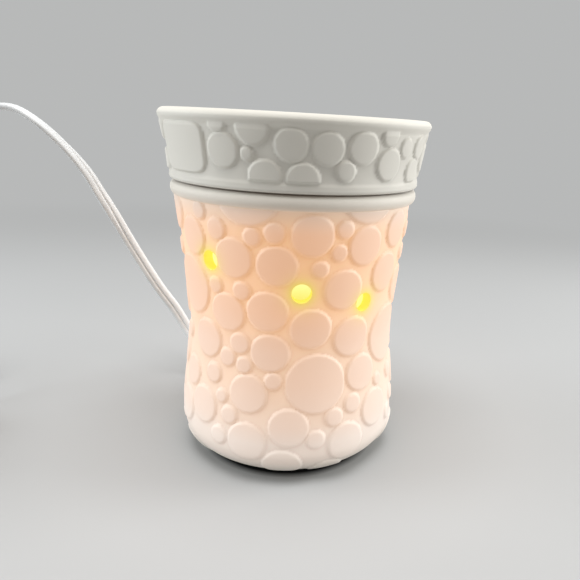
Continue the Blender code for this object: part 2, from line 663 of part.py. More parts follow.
def make_base(steel, zinc, rubber):
    cover = add_piece("bottom_cover", rod(RECESS_RADIUS - COVER_CLEARANCE, COVER_LOW, COVER_TOP, ROUND), steel)
    plate_radius = FLANGE_HOLE + PLATE_OVERLAP
    plate = add_piece("base_plate", rod(plate_radius, PLATE_LOW, PLATE_TOP, ROUND), steel)
    vents = [360.0 * i / VENT_COUNT for i in range(VENT_COUNT)]
    for target, low, high in ((cover, COVER_LOW - SHEET, COVER_TOP + SHEET), (plate, PLATE_LOW - SHEET, PLATE_TOP + SHEET)):
        tools = vertical_rods(SCREW_RADIUS + GAP, SCREW_CIRCLE, screw_angles(), low, high)
        if target is plate:
            tools.append(rod(NIPPLE_RADIUS + GAP, low, high, SMALL_ROUND))
        else:
            tools += vertical_rods(VENT_RADIUS, VENT_CIRCLE, vents, low, high)
        carve(target, target.name + "_holes", *tools)
    for i in range(FOOT_COUNT):
        place = Matrix.Translation(spot(45.0 + 360.0 * i / FOOT_COUNT, FOOT_CIRCLE, 0.0))
        height = COVER_LOW - GAP
        wide = FOOT_DIAMETER / 2
        profile = [(0, 0), (wide * 0.85, 0), (wide, height / 3), (wide, height), (0, height)]
        add_piece(f"foot_{i + 1}", turned(profile, SMALL_ROUND, place=place), rubber)
    for i, angle in enumerate(screw_angles()):
        place = Matrix.Translation(spot(angle, SCREW_CIRCLE, 0.0))
        head = COVER_LOW - GAP
        nut_low = PLATE_TOP + GAP
        nut_top = nut_low + NUT_HEIGHT
        profile = [(0, head - SCREW_HEAD), (SCREW_HEAD_RADIUS * 0.7, head - SCREW_HEAD),
                   (SCREW_HEAD_RADIUS, head - SCREW_HEAD / 2), (SCREW_HEAD_RADIUS, head),
                   (SCREW_RADIUS, head), (SCREW_RADIUS, nut_top + SHEET), (0, nut_top + SHEET)]
        add_piece(f"clamp_screw_{i + 1}", turned(profile, SMALL_ROUND, place=place), zinc)
        add_piece(f"clamp_nut_{i + 1}", hex_nut(SCREW_RADIUS + GAP, NUT_RADIUS, nut_low, nut_top, place), zinc)


def hex_nut(bore, radius, low, high, place=None):
    """A hexagon nut: six flats outside, a round bore inside, joined ring by ring."""
    sides = 12
    bm = bmesh.new()
    flats = radius * math.cos(math.pi / 6)
    rings = []
    for reach, height in ((None, low), (None, high), (bore, high), (bore, low)):
        ring = []
        for i in range(sides):
            turn = math.tau * i / sides
            size = reach or (radius if i % 2 == 0 else flats)
            ring.append(bm.verts.new((size * math.cos(turn), size * math.sin(turn), height)))
        rings.append(ring)
    for low_ring, high_ring in zip(rings, rings[1:] + rings[:1]):
        for i in range(sides):
            j = (i + 1) % sides
            bm.faces.new((low_ring[i], low_ring[j], high_ring[j], high_ring[i]))
    bmesh.ops.recalc_face_normals(bm, faces=bm.faces)
    if place is not None:
        bmesh.ops.transform(bm, matrix=place, verts=bm.verts)
    return bm


def thread(middle, low, high):
    """A rolled thread's outline from low to high, as even waves about its middle radius."""
    steps = max(round(2 * (high - low) / THREAD_PITCH), 2)
    signs = [1 if i % 2 else -1 for i in range(steps + 1)]
    return [(middle + THREAD_DEPTH * s, low + (high - low) * i / steps) for i, s in enumerate(signs)]


def make_lampholder(phenolic, brass, zinc):
    add_piece("lock_nut", hex_nut(NIPPLE_RADIUS + GAP, LOCK_NUT_RADIUS, PLATE_LOW - GAP - LOCK_NUT_HEIGHT,
                                  PLATE_LOW - GAP), zinc)
    nipple_top = HOLDER_LOW + NIPPLE_STEP
    add_piece("nipple", pipe(NIPPLE_BORE, NIPPLE_RADIUS, PLATE_LOW - GAP - LOCK_NUT_HEIGHT, nipple_top,
                             SMALL_ROUND), zinc)
    shell_inner = CAP_RADIUS + THREAD_GAP + 2 * THREAD_DEPTH
    bore = shell_inner + SHELL_WALL + THREAD_DEPTH + GAP
    bore_low = HOLDER_LOW + HOLDER_FLOOR
    step = nipple_top + GAP
    profile = [(0, step), (NIPPLE_RADIUS + GAP, step), (NIPPLE_RADIUS + GAP, HOLDER_LOW),
               (HOLDER_RADIUS - 0.001, HOLDER_LOW), (HOLDER_RADIUS, HOLDER_LOW + 0.001),
               (HOLDER_RADIUS, HOLDER_TOP - 0.0015), (HOLDER_RADIUS - 0.0015, HOLDER_TOP), (bore, HOLDER_TOP),
               (bore, bore_low), (0, bore_low)]
    holder = add_piece("lampholder", turned(profile, ROUND), phenolic)
    level = HOLDER_LOW + TERMINAL_LEVEL
    reach = HOLDER_RADIUS - TERMINAL_DEPTH
    tools = [rod(TERMINAL_SHANK + GAP, reach, HOLDER_RADIUS + 0.002, SMALL_ROUND, outward(a, level))
             for a in TERMINAL_ANGLES]
    carve(holder, "lampholder_holes", *tools)
    low = bore_low + GAP
    high = HOLDER_TOP - GAP
    inner = thread(shell_inner, low, high)
    outer = [(r + SHELL_WALL, h) for r, h in inner]
    add_piece("lampholder_shell", turned(outer + inner[::-1], ROUND, True), brass)
    add_piece("lampholder_contact", rod(CONTACT_RADIUS, CONTACT_LOW, CONTACT_LOW + CONTACT_HEIGHT, SMALL_ROUND), brass)
    for i, angle in enumerate(TERMINAL_ANGLES):
        face = HOLDER_RADIUS + GAP
        profile = [(0, reach + GAP), (TERMINAL_SHANK, reach + GAP), (TERMINAL_SHANK, face),
                   (TERMINAL_RADIUS, face), (TERMINAL_RADIUS, face + TERMINAL_HEAD), (0, face + TERMINAL_HEAD)]
        add_piece(f"terminal_screw_{i + 1}", turned(profile, SMALL_ROUND, place=outward(angle, level)), brass)


def make_bulb(glass, tin, black, wire):
    pivot = (0.0, 0.0, CAP_TOP)
    tip = [(0, TIP_LOW), (TIP_RADIUS * 0.7, TIP_LOW), (TIP_RADIUS, TIP_LOW + TIP_HEIGHT), (0, TIP_LOW + TIP_HEIGHT)]
    add_piece("bulb_tip", turned(tip, SMALL_ROUND), tin, pivot)
    cap_inner = CAP_RADIUS - THREAD_DEPTH - CAP_WALL
    seat = cap_inner - GAP
    top = INSULATOR_LOW + INSULATOR_HEIGHT
    insulator = [(0, INSULATOR_LOW), (TIP_RADIUS * 1.6, INSULATOR_LOW), (seat, CAP_LOW), (seat, top), (0, top)]
    add_piece("bulb_insulator", turned(insulator, ROUND), black, pivot)
    cap = thread(CAP_RADIUS, CAP_LOW, CAP_TOP - THREAD_PITCH) + [(CAP_RADIUS, CAP_TOP)]
    cap += [(cap_inner, CAP_TOP), (cap_inner, CAP_LOW)]
    add_piece("bulb_cap", turned(cap, ROUND, True), tin, pivot)
    neck = seat
    start = -math.degrees(math.acos(0.62))
    globe = arc((0.0, GLOBE_LEVEL), GLOBE_RADIUS, GLOBE_RADIUS, start, 90.0, 9)[:-1]
    inside = arc((0.0, GLOBE_LEVEL), GLOBE_RADIUS - GLASS_WALL, GLOBE_RADIUS - GLASS_WALL, 90.0, start, 8)[1:]
    outer = [(neck, top + GAP), (neck, CAP_TOP + GAP)] + globe + [(0.0, GLOBE_LEVEL + GLOBE_RADIUS)]
    inner = [(0.0, GLOBE_LEVEL + GLOBE_RADIUS - GLASS_WALL)] + inside
    inner += [(neck - GLASS_WALL, CAP_TOP + GAP), (neck - GLASS_WALL, top + GAP)]
    add_piece("bulb_glass", turned(outer + inner, ROUND, True), glass, pivot)
    stem_low = top + GAP
    stem_top = stem_low + STEM_HEIGHT
    flare = neck - GLASS_WALL - GAP
    stem = [(0, stem_low), (flare, stem_low), (flare, stem_low + 0.001), (STEM_RADIUS, stem_low + 0.009),
            (STEM_RADIUS, stem_top - 0.004), (STEM_RADIUS * 0.6, stem_top), (0, stem_top)]
    add_piece("bulb_stem", turned(stem, SMALL_ROUND), glass, pivot)
    start = stem_top + GAP
    arms = GLOBE_RADIUS * 0.4
    lift = GLOBE_LEVEL + GLOBE_RADIUS * 0.1 - start
    half = [(STEM_RADIUS * 0.3, 0.0), (STEM_RADIUS * 0.3, 0.12), (arms * 0.8, 0.8), (arms, 1.0), (arms * 0.6, 1.15),
            (arms * 0.3, 1.0)]
    route = [(-x, 0.0, start + lift * u) for x, u in half] + [(0.0, 0.0, start + lift * 1.15)]
    route += [(x, 0.0, start + lift * u) for x, u in half[::-1]]
    points = smooth_route(route[0], route[1:-1], route[-1], FILAMENT_WIRE * 3)
    filament = tube("bulb_filament", points, FILAMENT_WIRE, 1, wire)
    filament.data.transform(Matrix.Translation(-Vector(pivot)))
    filament.location = pivot


def ring_reach():
    """How far out the ring inside the lead's hole can go: the least reach of the wall all round the ring's edge."""
    radii, heights = np.array(inside_outline()[::-1]).T
    turns = np.radians(np.linspace(0.0, 180.0, 2 * SMALL_ROUND + 1))
    inner = np.interp(EXIT_HEIGHT + BOOT_FLANGE_RADIUS * np.cos(turns), heights, radii)
    return float(np.sqrt(inner ** 2 - (BOOT_FLANGE_RADIUS * np.sin(turns)) ** 2).min())


def make_exit(rubber, insulation):
    frame = outward(EXIT_ANGLE, EXIT_LEVEL)
    ring_top = ring_reach() - RING_CLEARANCE
    ring_low = ring_top - RING_HEIGHT
    add_piece("boot_ring", pipe(BOOT_NECK + GAP, BOOT_FLANGE_RADIUS, ring_low, ring_top, SMALL_ROUND, frame), rubber)
    neck_end = ring_low - GAP
    face = wall_radius(EXIT_HEIGHT) + GAP
    taper = face + BOOT_FLANGE
    end = taper + BOOT_LENGTH
    profile = [(0, neck_end), (BOOT_NECK, neck_end), (BOOT_NECK, face), (BOOT_FLANGE_RADIUS, face),
               (BOOT_FLANGE_RADIUS, taper)]
    steps = 2 * BOOT_RIBS
    for i in range(steps + 1):
        share = i / steps
        rib = 0.0 if i % 2 == 0 else -0.0006
        profile.append((BOOT_THICK + (BOOT_THIN - BOOT_THICK) * share + rib, taper + BOOT_LENGTH * share))
    profile.append((0, end))
    add_piece("cord_boot", turned(profile, SMALL_ROUND, place=frame), rubber)
    level = HOLDER_LOW + TERMINAL_LEVEL
    for i, angle in enumerate(TERMINAL_ANGLES):
        side = 1 if i else -1
        stop = HOLDER_RADIUS + GAP + TERMINAL_HEAD + GAP
        start = neck_end - GAP
        aside = side * math.degrees(LEAD_DIAMETER * 0.65 / start)
        mid = (start + stop) / 2
        route = [spot(EXIT_ANGLE + aside, start, EXIT_LEVEL), spot(EXIT_ANGLE + aside * 1.1, start - 0.003, EXIT_LEVEL),
                 spot(EXIT_ANGLE + 0.45 * (angle - EXIT_ANGLE), mid, (EXIT_LEVEL + level) / 2),
                 spot(angle, stop + 0.003, level), spot(angle, stop, level)]
        points = smooth_route(route[0], route[1:-1], route[-1], LEAD_DIAMETER * 2)
        tube(f"inner_lead_{i + 1}", points, LEAD_DIAMETER, 2, insulation)
    return end + GAP


def slab(length, width, corner, place, levels):
    """A block with rounded corners through (height, inset) levels, lying along Y about a place."""
    steps = 5
    loops = []
    for height, inset in levels:
        loop = []
        for quarter, (sx, sy) in enumerate(((1, 1), (-1, 1), (-1, -1), (1, -1))):
            for i in range(steps):
                turn = math.pi / 2 * (quarter + i / (steps - 1))
                x = sx * (width / 2 - corner) + (corner - inset) * math.cos(turn)
                y = sy * (length / 2 - corner) + (corner - inset) * math.sin(turn)
                loop.append((place[0] + x, place[1] + y, height))
        loops.append(loop)
    return stacked(loops)


def make_switch(plastic, dark, zinc):
    middle = (SWITCH_X, SWITCH_FROM - SWITCH_LENGTH / 2)
    place = Matrix.Translation((*middle, WHEEL_LEVEL)) @ Matrix.Rotation(math.pi / 2, 4, "Y")
    low = [(GAP, SWITCH_EDGE), (GAP + SWITCH_EDGE, 0.0), (SWITCH_SPLIT, 0.0)]
    high = [(SWITCH_SPLIT + GAP, 0.0), (SWITCH_HEIGHT - SWITCH_EDGE, 0.0), (SWITCH_HEIGHT, SWITCH_EDGE)]
    lower = add_piece("switch_lower", slab(SWITCH_LENGTH, SWITCH_WIDTH, SWITCH_CORNER, middle, low), plastic)
    upper = add_piece("switch_upper", slab(SWITCH_LENGTH, SWITCH_WIDTH, SWITCH_CORNER, middle, high), plastic)
    pocket = (WHEEL_WIDTH + 2 * GAP, 2 * (WHEEL_RADIUS + 2 * GAP))
    screws = [(middle[0], middle[1] + side * SWITCH_SCREW_PLACE) for side in (-1, 1)]
    head = GAP + SWITCH_SCREW_SUNK
    end = SWITCH_HEIGHT - SWITCH_EDGE - GAP
    floor = WHEEL_LEVEL - WHEEL_RADIUS - 2 * GAP
    depth = SWITCH_HEIGHT
    tools = [block((*pocket, depth), (*middle, floor + depth / 2))]
    for x, y in screws:
        steps = [(0, -SHEET), (SWITCH_SCREW_HEAD + GAP, -SHEET), (SWITCH_SCREW_HEAD + GAP, head),
                 (SWITCH_SCREW_RADIUS + GAP, head), (SWITCH_SCREW_RADIUS + GAP, end), (0, end)]
        tools.append(turned(steps, SMALL_ROUND, place=upright(x, y)))
    carve(lower, "switch_lower_cuts", *tools)
    tools = [block((*pocket, 2 * depth), (*middle, depth))]
    tools += [rod(SWITCH_SCREW_RADIUS + GAP, 0.0, end, SMALL_ROUND, upright(x, y)) for x, y in screws]
    carve(upper, "switch_upper_cuts", *tools)
    bearing = rod(AXLE_RADIUS + GAP, -AXLE_LENGTH / 2 - GAP, AXLE_LENGTH / 2 + GAP, SMALL_ROUND, place)
    carve(upper, "switch_bearing", bearing)
    half = WHEEL_WIDTH / 2
    loops = []
    for reach, along in ((AXLE_RADIUS, -AXLE_LENGTH / 2), (AXLE_RADIUS, -half), (None, -half), (None, half),
                         (AXLE_RADIUS, half), (AXLE_RADIUS, AXLE_LENGTH / 2)):
        loop = []
        for i in range(2 * WHEEL_TEETH):
            size = reach or WHEEL_RADIUS - (WHEEL_KNURL if i % 2 else 0.0)
            turn = math.tau * i / (2 * WHEEL_TEETH)
            loop.append((size * math.cos(turn), size * math.sin(turn), along))
        loops.append(loop)
    wheel = stacked(loops)
    bmesh.ops.transform(wheel, matrix=place, verts=wheel.verts)
    add_piece("switch_wheel", wheel, dark, (*middle, WHEEL_LEVEL))
    for i, (x, y) in enumerate(screws):
        profile = [(0, GAP), (SWITCH_SCREW_HEAD, GAP), (SWITCH_SCREW_HEAD, head - GAP),
                   (SWITCH_SCREW_RADIUS, head - GAP), (SWITCH_SCREW_RADIUS, end - GAP), (0, end - GAP)]
        add_piece(f"switch_screw_{i + 1}", turned(profile, SMALL_ROUND, place=upright(x, y)), zinc)


def coil_points():
    """One unbroken winding: straight in, spiral in, climb a layer in the half turn of the reversal, spiral out."""
    steps = round(COIL_TURNS * LOOP_POINTS)
    points = [(COIL_X + 2 * LEAD_WIDTH, COIL_Y - COIL_OUTER, COIL_LOW)]
    for i in range(steps + 1):
        turns = COIL_TURNS * i / steps
        radius = COIL_INNER + COIL_PITCH * abs(COIL_TURNS / 2 - turns)
        climb = min(max((turns - COIL_TURNS / 2) / 0.5 + 0.5, 0.0), 1.0)
        height = COIL_LOW + COIL_PITCH * climb * climb * (3 - 2 * climb)
        angle = -math.pi / 2 - math.tau * turns
        points.append((COIL_X + radius * math.cos(angle), COIL_Y + radius * math.sin(angle), height))
    last = points[-1]
    points.append((last[0], last[1] + LEAD_WIDTH, last[2]))
    return points


def least_self_gap(points, diameter):
    """Least surface distance between stretches of a winding more than a quarter turn apart."""
    given = np.array(points)
    u = np.linspace(0.0, 1.0, 6, endpoint=False)[:, None]
    fine = np.vstack([a + u * (b - a) for a, b in zip(given, given[1:])])
    apart = np.linalg.norm(fine[:, None, :] - fine[None, :, :], axis=2)
    index = np.arange(len(fine))
    near = np.abs(index[:, None] - index[None, :]) < 6 * LOOP_POINTS // 4
    return float(np.where(near, 1.0, apart).min()) - diameter


def make_tie(coil, finish):
    """A strap round the turns: its window is measured on the winding at the strap's own angle."""
    turn = math.radians(TIE_ANGLE)
    places = np.array(coil) - np.array((COIL_X, COIL_Y, 0.0))
    along = places[:, 0] * math.cos(turn) + places[:, 1] * math.sin(turn)
    aside = places[:, 1] * math.cos(turn) - places[:, 0] * math.sin(turn)
    crossed = along[(along > 0.0) & (np.abs(aside) < TIE_WIDTH)]
    inner = float(crossed.min()) - LEAD_WIDTH / 2 - 2 * GAP
    outer = float(crossed.max()) + LEAD_WIDTH / 2 + 2 * GAP
    low = COIL_LOW - LEAD_WIDTH / 2 - GAP
    high = COIL_LOW + COIL_PITCH + LEAD_WIDTH / 2 + GAP
    frame = Matrix.Translation((COIL_X, COIL_Y, 0.0)) @ Matrix.Rotation(turn, 4, "Z")
    middle = ((inner + outer) / 2, 0.0, (low + high) / 2)
    hole = (outer - inner, 2 * TIE_WIDTH, high - low)
    band = block((hole[0] + 2 * TIE_THICKNESS, TIE_WIDTH, hole[2] + 2 * TIE_THICKNESS), middle)
    bmesh.ops.transform(band, matrix=frame, verts=band.verts)
    strap = add_piece("coil_tie", band, finish)
    window = block(hole, middle)
    bmesh.ops.transform(window, matrix=frame, verts=window.verts)
    carve(strap, "coil_tie_window", window)


def make_lead(insulation, exit_radius, tie):
    pitch = LEAD_WIDTH * 2.3
    level = SWITCH_SPLIT + GAP / 2
    back = Vector((SWITCH_X, SWITCH_FROM + GAP, level))
    straight = Vector((0.0, LEAD_WIDTH, 0.0))
    stub = spot(EXIT_ANGLE, exit_radius + LEAD_WIDTH, EXIT_LEVEL)
    rise = smooth_route(spot(EXIT_ANGLE, exit_radius, EXIT_LEVEL), [stub, *RISE_ROUTE, back + straight], back, pitch)
    tube("cord_rise", rise, LEAD_WIDTH, 2, insulation)
    coil = coil_points()
    front = Vector((SWITCH_X, SWITCH_FROM - SWITCH_LENGTH - GAP, level))
    entry = Vector(coil[0]) + Vector((GAP, 0.0, 0.0))
    first = front - straight
    last = entry + Vector((LEAD_WIDTH, 0.0, 0.0))
    corner = Vector((first.x, last.y, (first.z + last.z) / 2))
    turn = [first + (last - first) * 0.12 + (corner - first) * 0.42, first * 0.25 + last * 0.25 + corner * 0.5,
            last + (first - last) * 0.12 + (corner - last) * 0.42]
    link = smooth_route(front, [first, *turn, last], entry, pitch)
    tube("cord_link", link, LEAD_WIDTH, 2, insulation)
    tube("cord_coil", coil, LEAD_WIDTH, 1, insulation)
    leave = Vector(coil[-1]) + Vector((0.0, GAP, 0.0))
    plug_end = Vector((PLUG_X, PLUG_FROM - GAP, GAP + PLUG_THICKNESS / 2))
    first = leave + straight
    last = plug_end - straight
    middle = (first + last) / 2
    tail = smooth_route(leave, [first, middle, last], plug_end, pitch)
    tube("cord_tail", tail, LEAD_WIDTH, 2, insulation)
    make_tie(coil, tie)
    total = sum(tube_length(points) for points in (rise, link, coil, tail))
    print(f"lead: {total:.3f} m in all, {tube_length(coil):.3f} m of it in the coil")
    print(f"coil: least gap to itself {1000 * least_self_gap(coil, LEAD_WIDTH):.2f} mm")


def make_plug(plastic, brass):
    middle = GAP + PLUG_THICKNESS / 2
    shapes = ((0.0, 0.36, 0.52), (0.12, 0.46, 0.66), (0.35, 0.62, 0.82), (0.60, 0.94, 1.0), (0.94, 1.0, 1.0),
              (1.0, 0.92, 0.88))
    loops = []
    for along, wide, thick in shapes:
        loop = []
        for i in range(SMALL_ROUND):
            turn = math.tau * i / SMALL_ROUND
            x = math.copysign(abs(math.cos(turn)) ** 0.6, math.cos(turn)) * PLUG_WIDTH / 2 * wide
            z = math.copysign(abs(math.sin(turn)) ** 0.6, math.sin(turn)) * PLUG_THICKNESS / 2 * thick
            loop.append((PLUG_X + x, PLUG_FROM + PLUG_LENGTH * along, middle + z))
        loops.append(loop)
    add_piece("plug_body", stacked(loops), plastic)
    face = PLUG_FROM + PLUG_LENGTH + GAP
    for i, side in enumerate((-1, 1)):
        centre = (PLUG_X + side * BLADE_SPACING / 2, face + BLADE_LENGTH / 2, middle)
        add_piece(f"plug_blade_{i + 1}", block((BLADE_THICKNESS, BLADE_LENGTH, BLADE_WIDTH), centre), brass)


def main():
    clear_scene()
    porcelain = material("porcelain", (0.86, 0.83, 0.79), 0.55)
    steel = material("zinc_plated_steel", (0.60, 0.61, 0.62), 0.40, 1.0)
    brass = material("brass", (0.80, 0.62, 0.30), 0.30, 1.0)
    tin = material("tinned_cap", (0.74, 0.73, 0.70), 0.35, 1.0)
    rubber = material("white_rubber", (0.80, 0.80, 0.78), 0.70)
    phenolic = material("black_phenolic", (0.03, 0.03, 0.03), 0.45)
    glass = material("frosted_glass", (0.95, 0.93, 0.88), 0.35)
    insulation = material("white_cord", (0.86, 0.86, 0.84), 0.45)
    plastic = material("white_plastic", (0.85, 0.85, 0.83), 0.40)
    tie = material("white_tie", (0.78, 0.78, 0.76), 0.55)
    make_body(porcelain)
    make_dish(porcelain)
    make_base(steel, steel, rubber)
    make_lampholder(phenolic, brass, steel)
    make_bulb(glass, tin, phenolic, steel)
    exit_radius = make_exit(rubber, insulation)
    make_switch(plastic, plastic, steel)
    make_lead(insulation, exit_radius, tie)
    make_plug(plastic, brass)


main()
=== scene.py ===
"""Looks for a porcelain wax warmer: bubbled walls, the lit bulb's glow, the flat twin lead and a stage."""
import math
import random
from collections import namedtuple

import bmesh
import bpy
import numpy as np
from bpy.props import FloatProperty, FloatVectorProperty, PointerProperty
from mathutils import Matrix, Vector


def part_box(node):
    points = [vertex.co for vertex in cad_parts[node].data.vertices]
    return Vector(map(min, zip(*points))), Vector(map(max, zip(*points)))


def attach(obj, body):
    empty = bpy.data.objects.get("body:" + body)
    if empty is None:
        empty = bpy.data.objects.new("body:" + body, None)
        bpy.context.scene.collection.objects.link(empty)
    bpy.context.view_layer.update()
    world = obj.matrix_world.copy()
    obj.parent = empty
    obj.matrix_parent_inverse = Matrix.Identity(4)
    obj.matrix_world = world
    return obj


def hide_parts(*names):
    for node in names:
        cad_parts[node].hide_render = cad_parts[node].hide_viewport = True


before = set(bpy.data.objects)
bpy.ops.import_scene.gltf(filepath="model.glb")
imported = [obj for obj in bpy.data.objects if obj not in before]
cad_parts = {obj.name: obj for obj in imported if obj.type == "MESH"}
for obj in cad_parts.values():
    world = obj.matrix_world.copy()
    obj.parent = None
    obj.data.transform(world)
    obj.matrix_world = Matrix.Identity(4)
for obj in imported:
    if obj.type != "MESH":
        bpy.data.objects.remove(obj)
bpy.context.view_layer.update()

bl_info = {
    "name": "Porcelain wax warmer",
    "version": (1, 0, 0),
    "blender": (4, 5, 0),
    "location": "View3D > Sidebar > Warmer",
    "description": "Makes the bubbled body, dish, bulb, lead and stage of a lit wax warmer",
    "category": "Add Mesh",
}

# Levels in the frame of the table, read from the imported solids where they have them
GAP = 0.0003
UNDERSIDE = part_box("body")[0].z
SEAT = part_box("body")[1].z
BODY_HEIGHT = SEAT - UNDERSIDE
DISH_EDGE = SEAT + GAP

# Body wall, heights above its underside
FOOT_RADIUS = 0.0335
BASE_RADIUS = 0.0494
BASE_LEVEL = 0.0140
WAIST_RADIUS = 0.0461
WAIST_LEVEL = 0.0600
NECK_RADIUS = 0.0514
NECK_CURVE = 1.3          # power of the curve from the waist to the neck
COLLAR_HEIGHT = 0.0062
COLLAR_LEVEL = BODY_HEIGHT - COLLAR_HEIGHT
COLLAR_RADIUS = 0.0537
COLLAR_CREST = 0.0024
COLLAR_FROM = -68.0       # degrees round the collar's oval at which it leaves the wall
WALL = 0.0045
MOUTH_RADIUS = NECK_RADIUS - WALL
MOUTH_ROUND = 0.0008
FLANGE_LOW = 0.0030
FLANGE_TOP = 0.0080
FLANGE_HOLE = 0.0265
RECESS_RADIUS = 0.0300
RECESS_EDGE = 0.0005      # small bevel at the mouth of the recess
INNER_CORNER = 0.0040

# Dish, heights above its lower edge
DISH_HEIGHT = 0.0284
LIP_HEIGHT = 0.0044
LIP_ROUND = 0.0018
LIP_PROUD = 0.0004
LIP_FLANK = 0.0016        # height of the soft step in from the lip to the band
BAND_LOW_RADIUS = 0.0536
BAND_HIGH_RADIUS = 0.0563
BAND_CURVE = 1.4          # power of the band's flare
RIM_HEIGHT = 0.0062
RIM_FLANK = 0.0036        # height of the soft step out from the band to the rim
RIM_PROUD = 0.0019
RIM_ROUND = 0.0028
RIM_INNER_ROUND = 0.0022
RIM_WIDEST = DISH_HEIGHT - RIM_ROUND
BAND_TOP = DISH_HEIGHT - RIM_HEIGHT
EDGE_BLEND = 0.0003       # roundness where bubbles run into the lip and the rim
DISH_WALL = 0.0042
SPIGOT_DEPTH = 0.0095
SPIGOT_CORNER = 0.0020
SPIGOT_CLEARANCE = 0.0008
DISH_FLOOR = 0.0052
BOWL_CORNER_WIDTH = 0.0280    # of the curve from the wall of the bowl to its floor
BOWL_CORNER_HEIGHT = 0.0165
SEAM_WIDTH = 0.0030       # of the shaded ring under the lip
SEAM_HEIGHT = 0.0005

# Bubbles: (degrees from the front, height, diameter)
BUBBLE_SPACE = 0.0007
BUBBLE_SPREAD = 0.0004    # how far a bubble's rounded foot runs out past its diameter
BUBBLE_CROWN = 0.14       # share of its height that a bubble loses from its middle to its edge
BODY_CREASE = 0.0007      # width of the painted shade line at the foot of a bubble
DISH_CREASE = 0.0009
DISH_CREASE_END = (BAND_TOP - 0.0010, BAND_TOP + 0.0008)    # heights between which it fades out
DISH_BUBBLE_START = 0.0006    # how far below the top of the lip the dish's bubbles start
DISH_BUBBLE_FULL = 0.0004     # how far above it they have their full height
LARGE = 0.0255
MEDIUM = 0.0166
SMALL = 0.0078
DISH_MEDIUM = 0.0128
DISH_SMALL = 0.0080
BODY_BUBBLES = (
    (-20.0, 0.1218, 0.0262), (34.5, 0.1244, 0.0280), (-59.6, 0.0800, 0.0255), (62.0, 0.0594, 0.0265),
    (13.2, 0.0443, 0.0254),
    (8.3, 0.1063, 0.0166), (34.5, 0.1016, 0.0165), (56.6, 0.1066, 0.0157), (-53.2, 0.1013, 0.0160),
    (-27.7, 0.0955, 0.0165), (-7.2, 0.0939, 0.0162), (51.3, 0.0888, 0.0173), (24.9, 0.0840, 0.0170),
    (-32.7, 0.0725, 0.0162), (-11.6, 0.0749, 0.0169), (9.6, 0.0681, 0.0169), (32.2, 0.0631, 0.0175),
    (-47.9, 0.0584, 0.0167), (-10.2, 0.0574, 0.0160), (39.4, 0.0459, 0.0162), (-61.7, 0.0402, 0.0135),
    (-20.7, 0.0391, 0.0164), (-48.2, 0.0286, 0.0163), (50.0, 0.0275, 0.0175), (0.0, 0.0259, 0.0167),
    (-20.6, 0.0181, 0.0170), (29.8, 0.0167, 0.0175), (-2.9, 0.0076, 0.0170), (21.3, 0.0031, 0.0150),
    (-45.9, 0.1124, 0.0076), (-35.9, 0.1062, 0.0090), (-18.0, 0.1048, 0.0074), (-8.2, 0.1069, 0.0082),
    (22.6, 0.1086, 0.0073), (20.7, 0.0995, 0.0070), (12.3, 0.0930, 0.0070), (-39.0, 0.0829, 0.0070),
    (-24.1, 0.0826, 0.0077), (-26.1, 0.0600, 0.0090), (-33.2, 0.0529, 0.0079), (-23.5, 0.0510, 0.0072),
    (-42.1, 0.0443, 0.0088), (-8.2, 0.0456, 0.0072), (53.4, 0.0395, 0.0060), (-35.6, 0.0356, 0.0060),
    (33.5, 0.0334, 0.0085), (-30.4, 0.0284, 0.0078), (22.7, 0.0291, 0.0082), (13.4, 0.0203, 0.0081),
    (-36.3, 0.0180, 0.0082),
)
DISH_BUBBLES = (
    (-50.5, 0.0137, 0.0300), (-28.4, 0.0142, 0.0132), (-16.0, 0.0227, 0.0127), (-11.7, 0.0059, 0.0124),
    (-1.8, 0.0175, 0.0124), (2.9, 0.0052, 0.0126), (11.8, 0.0166, 0.0122), (25.9, 0.0173, 0.0126),
    (39.8, 0.0114, 0.0128), (58.4, 0.0082, 0.0110), (61.7, 0.0177, 0.0100),
    (-30.0, 0.0240, 0.0082), (-18.4, 0.0135, 0.0054), (19.5, 0.0089, 0.0079), (38.0, 0.0223, 0.0088),
    (49.3, 0.0176, 0.0082),
)
DISH_PANEL = (-52.5, 0.0143, 0.0296, 0.0192, 5.0)    # the first, squared off: width, depth, squareness
BODY_HAND_PLACED = 62.0   # degrees either side of the front
DISH_HAND_PLACED = 60.0
BODY_FILL = ((LARGE, 60), (MEDIUM, 1500), (SMALL, 1500))    # (diameter, tries)
DISH_FILL = ((DISH_MEDIUM, 300), (DISH_SMALL, 300))
FILL_SEED = 7

# Light holes and the lead's exit: (degrees from the front, height above the underside)
LIGHT_HOLE = 0.0080
LIGHT_HOLES = (
    (-42.0, 0.0927), (4.4, 0.0831), (38.5, 0.0773), (86.0, 0.0900), (131.0, 0.0800),
    (176.0, 0.0910), (-138.0, 0.0830), (-92.0, 0.0850),
)
EXIT_ANGLE = -140.0
EXIT_HEIGHT = 0.0190
BOOT_NECK = 0.0049
BOOT_FLANGE_RADIUS = 0.0075
BOOT_FLANGE = 0.0020
BOOT_LENGTH = 0.0200

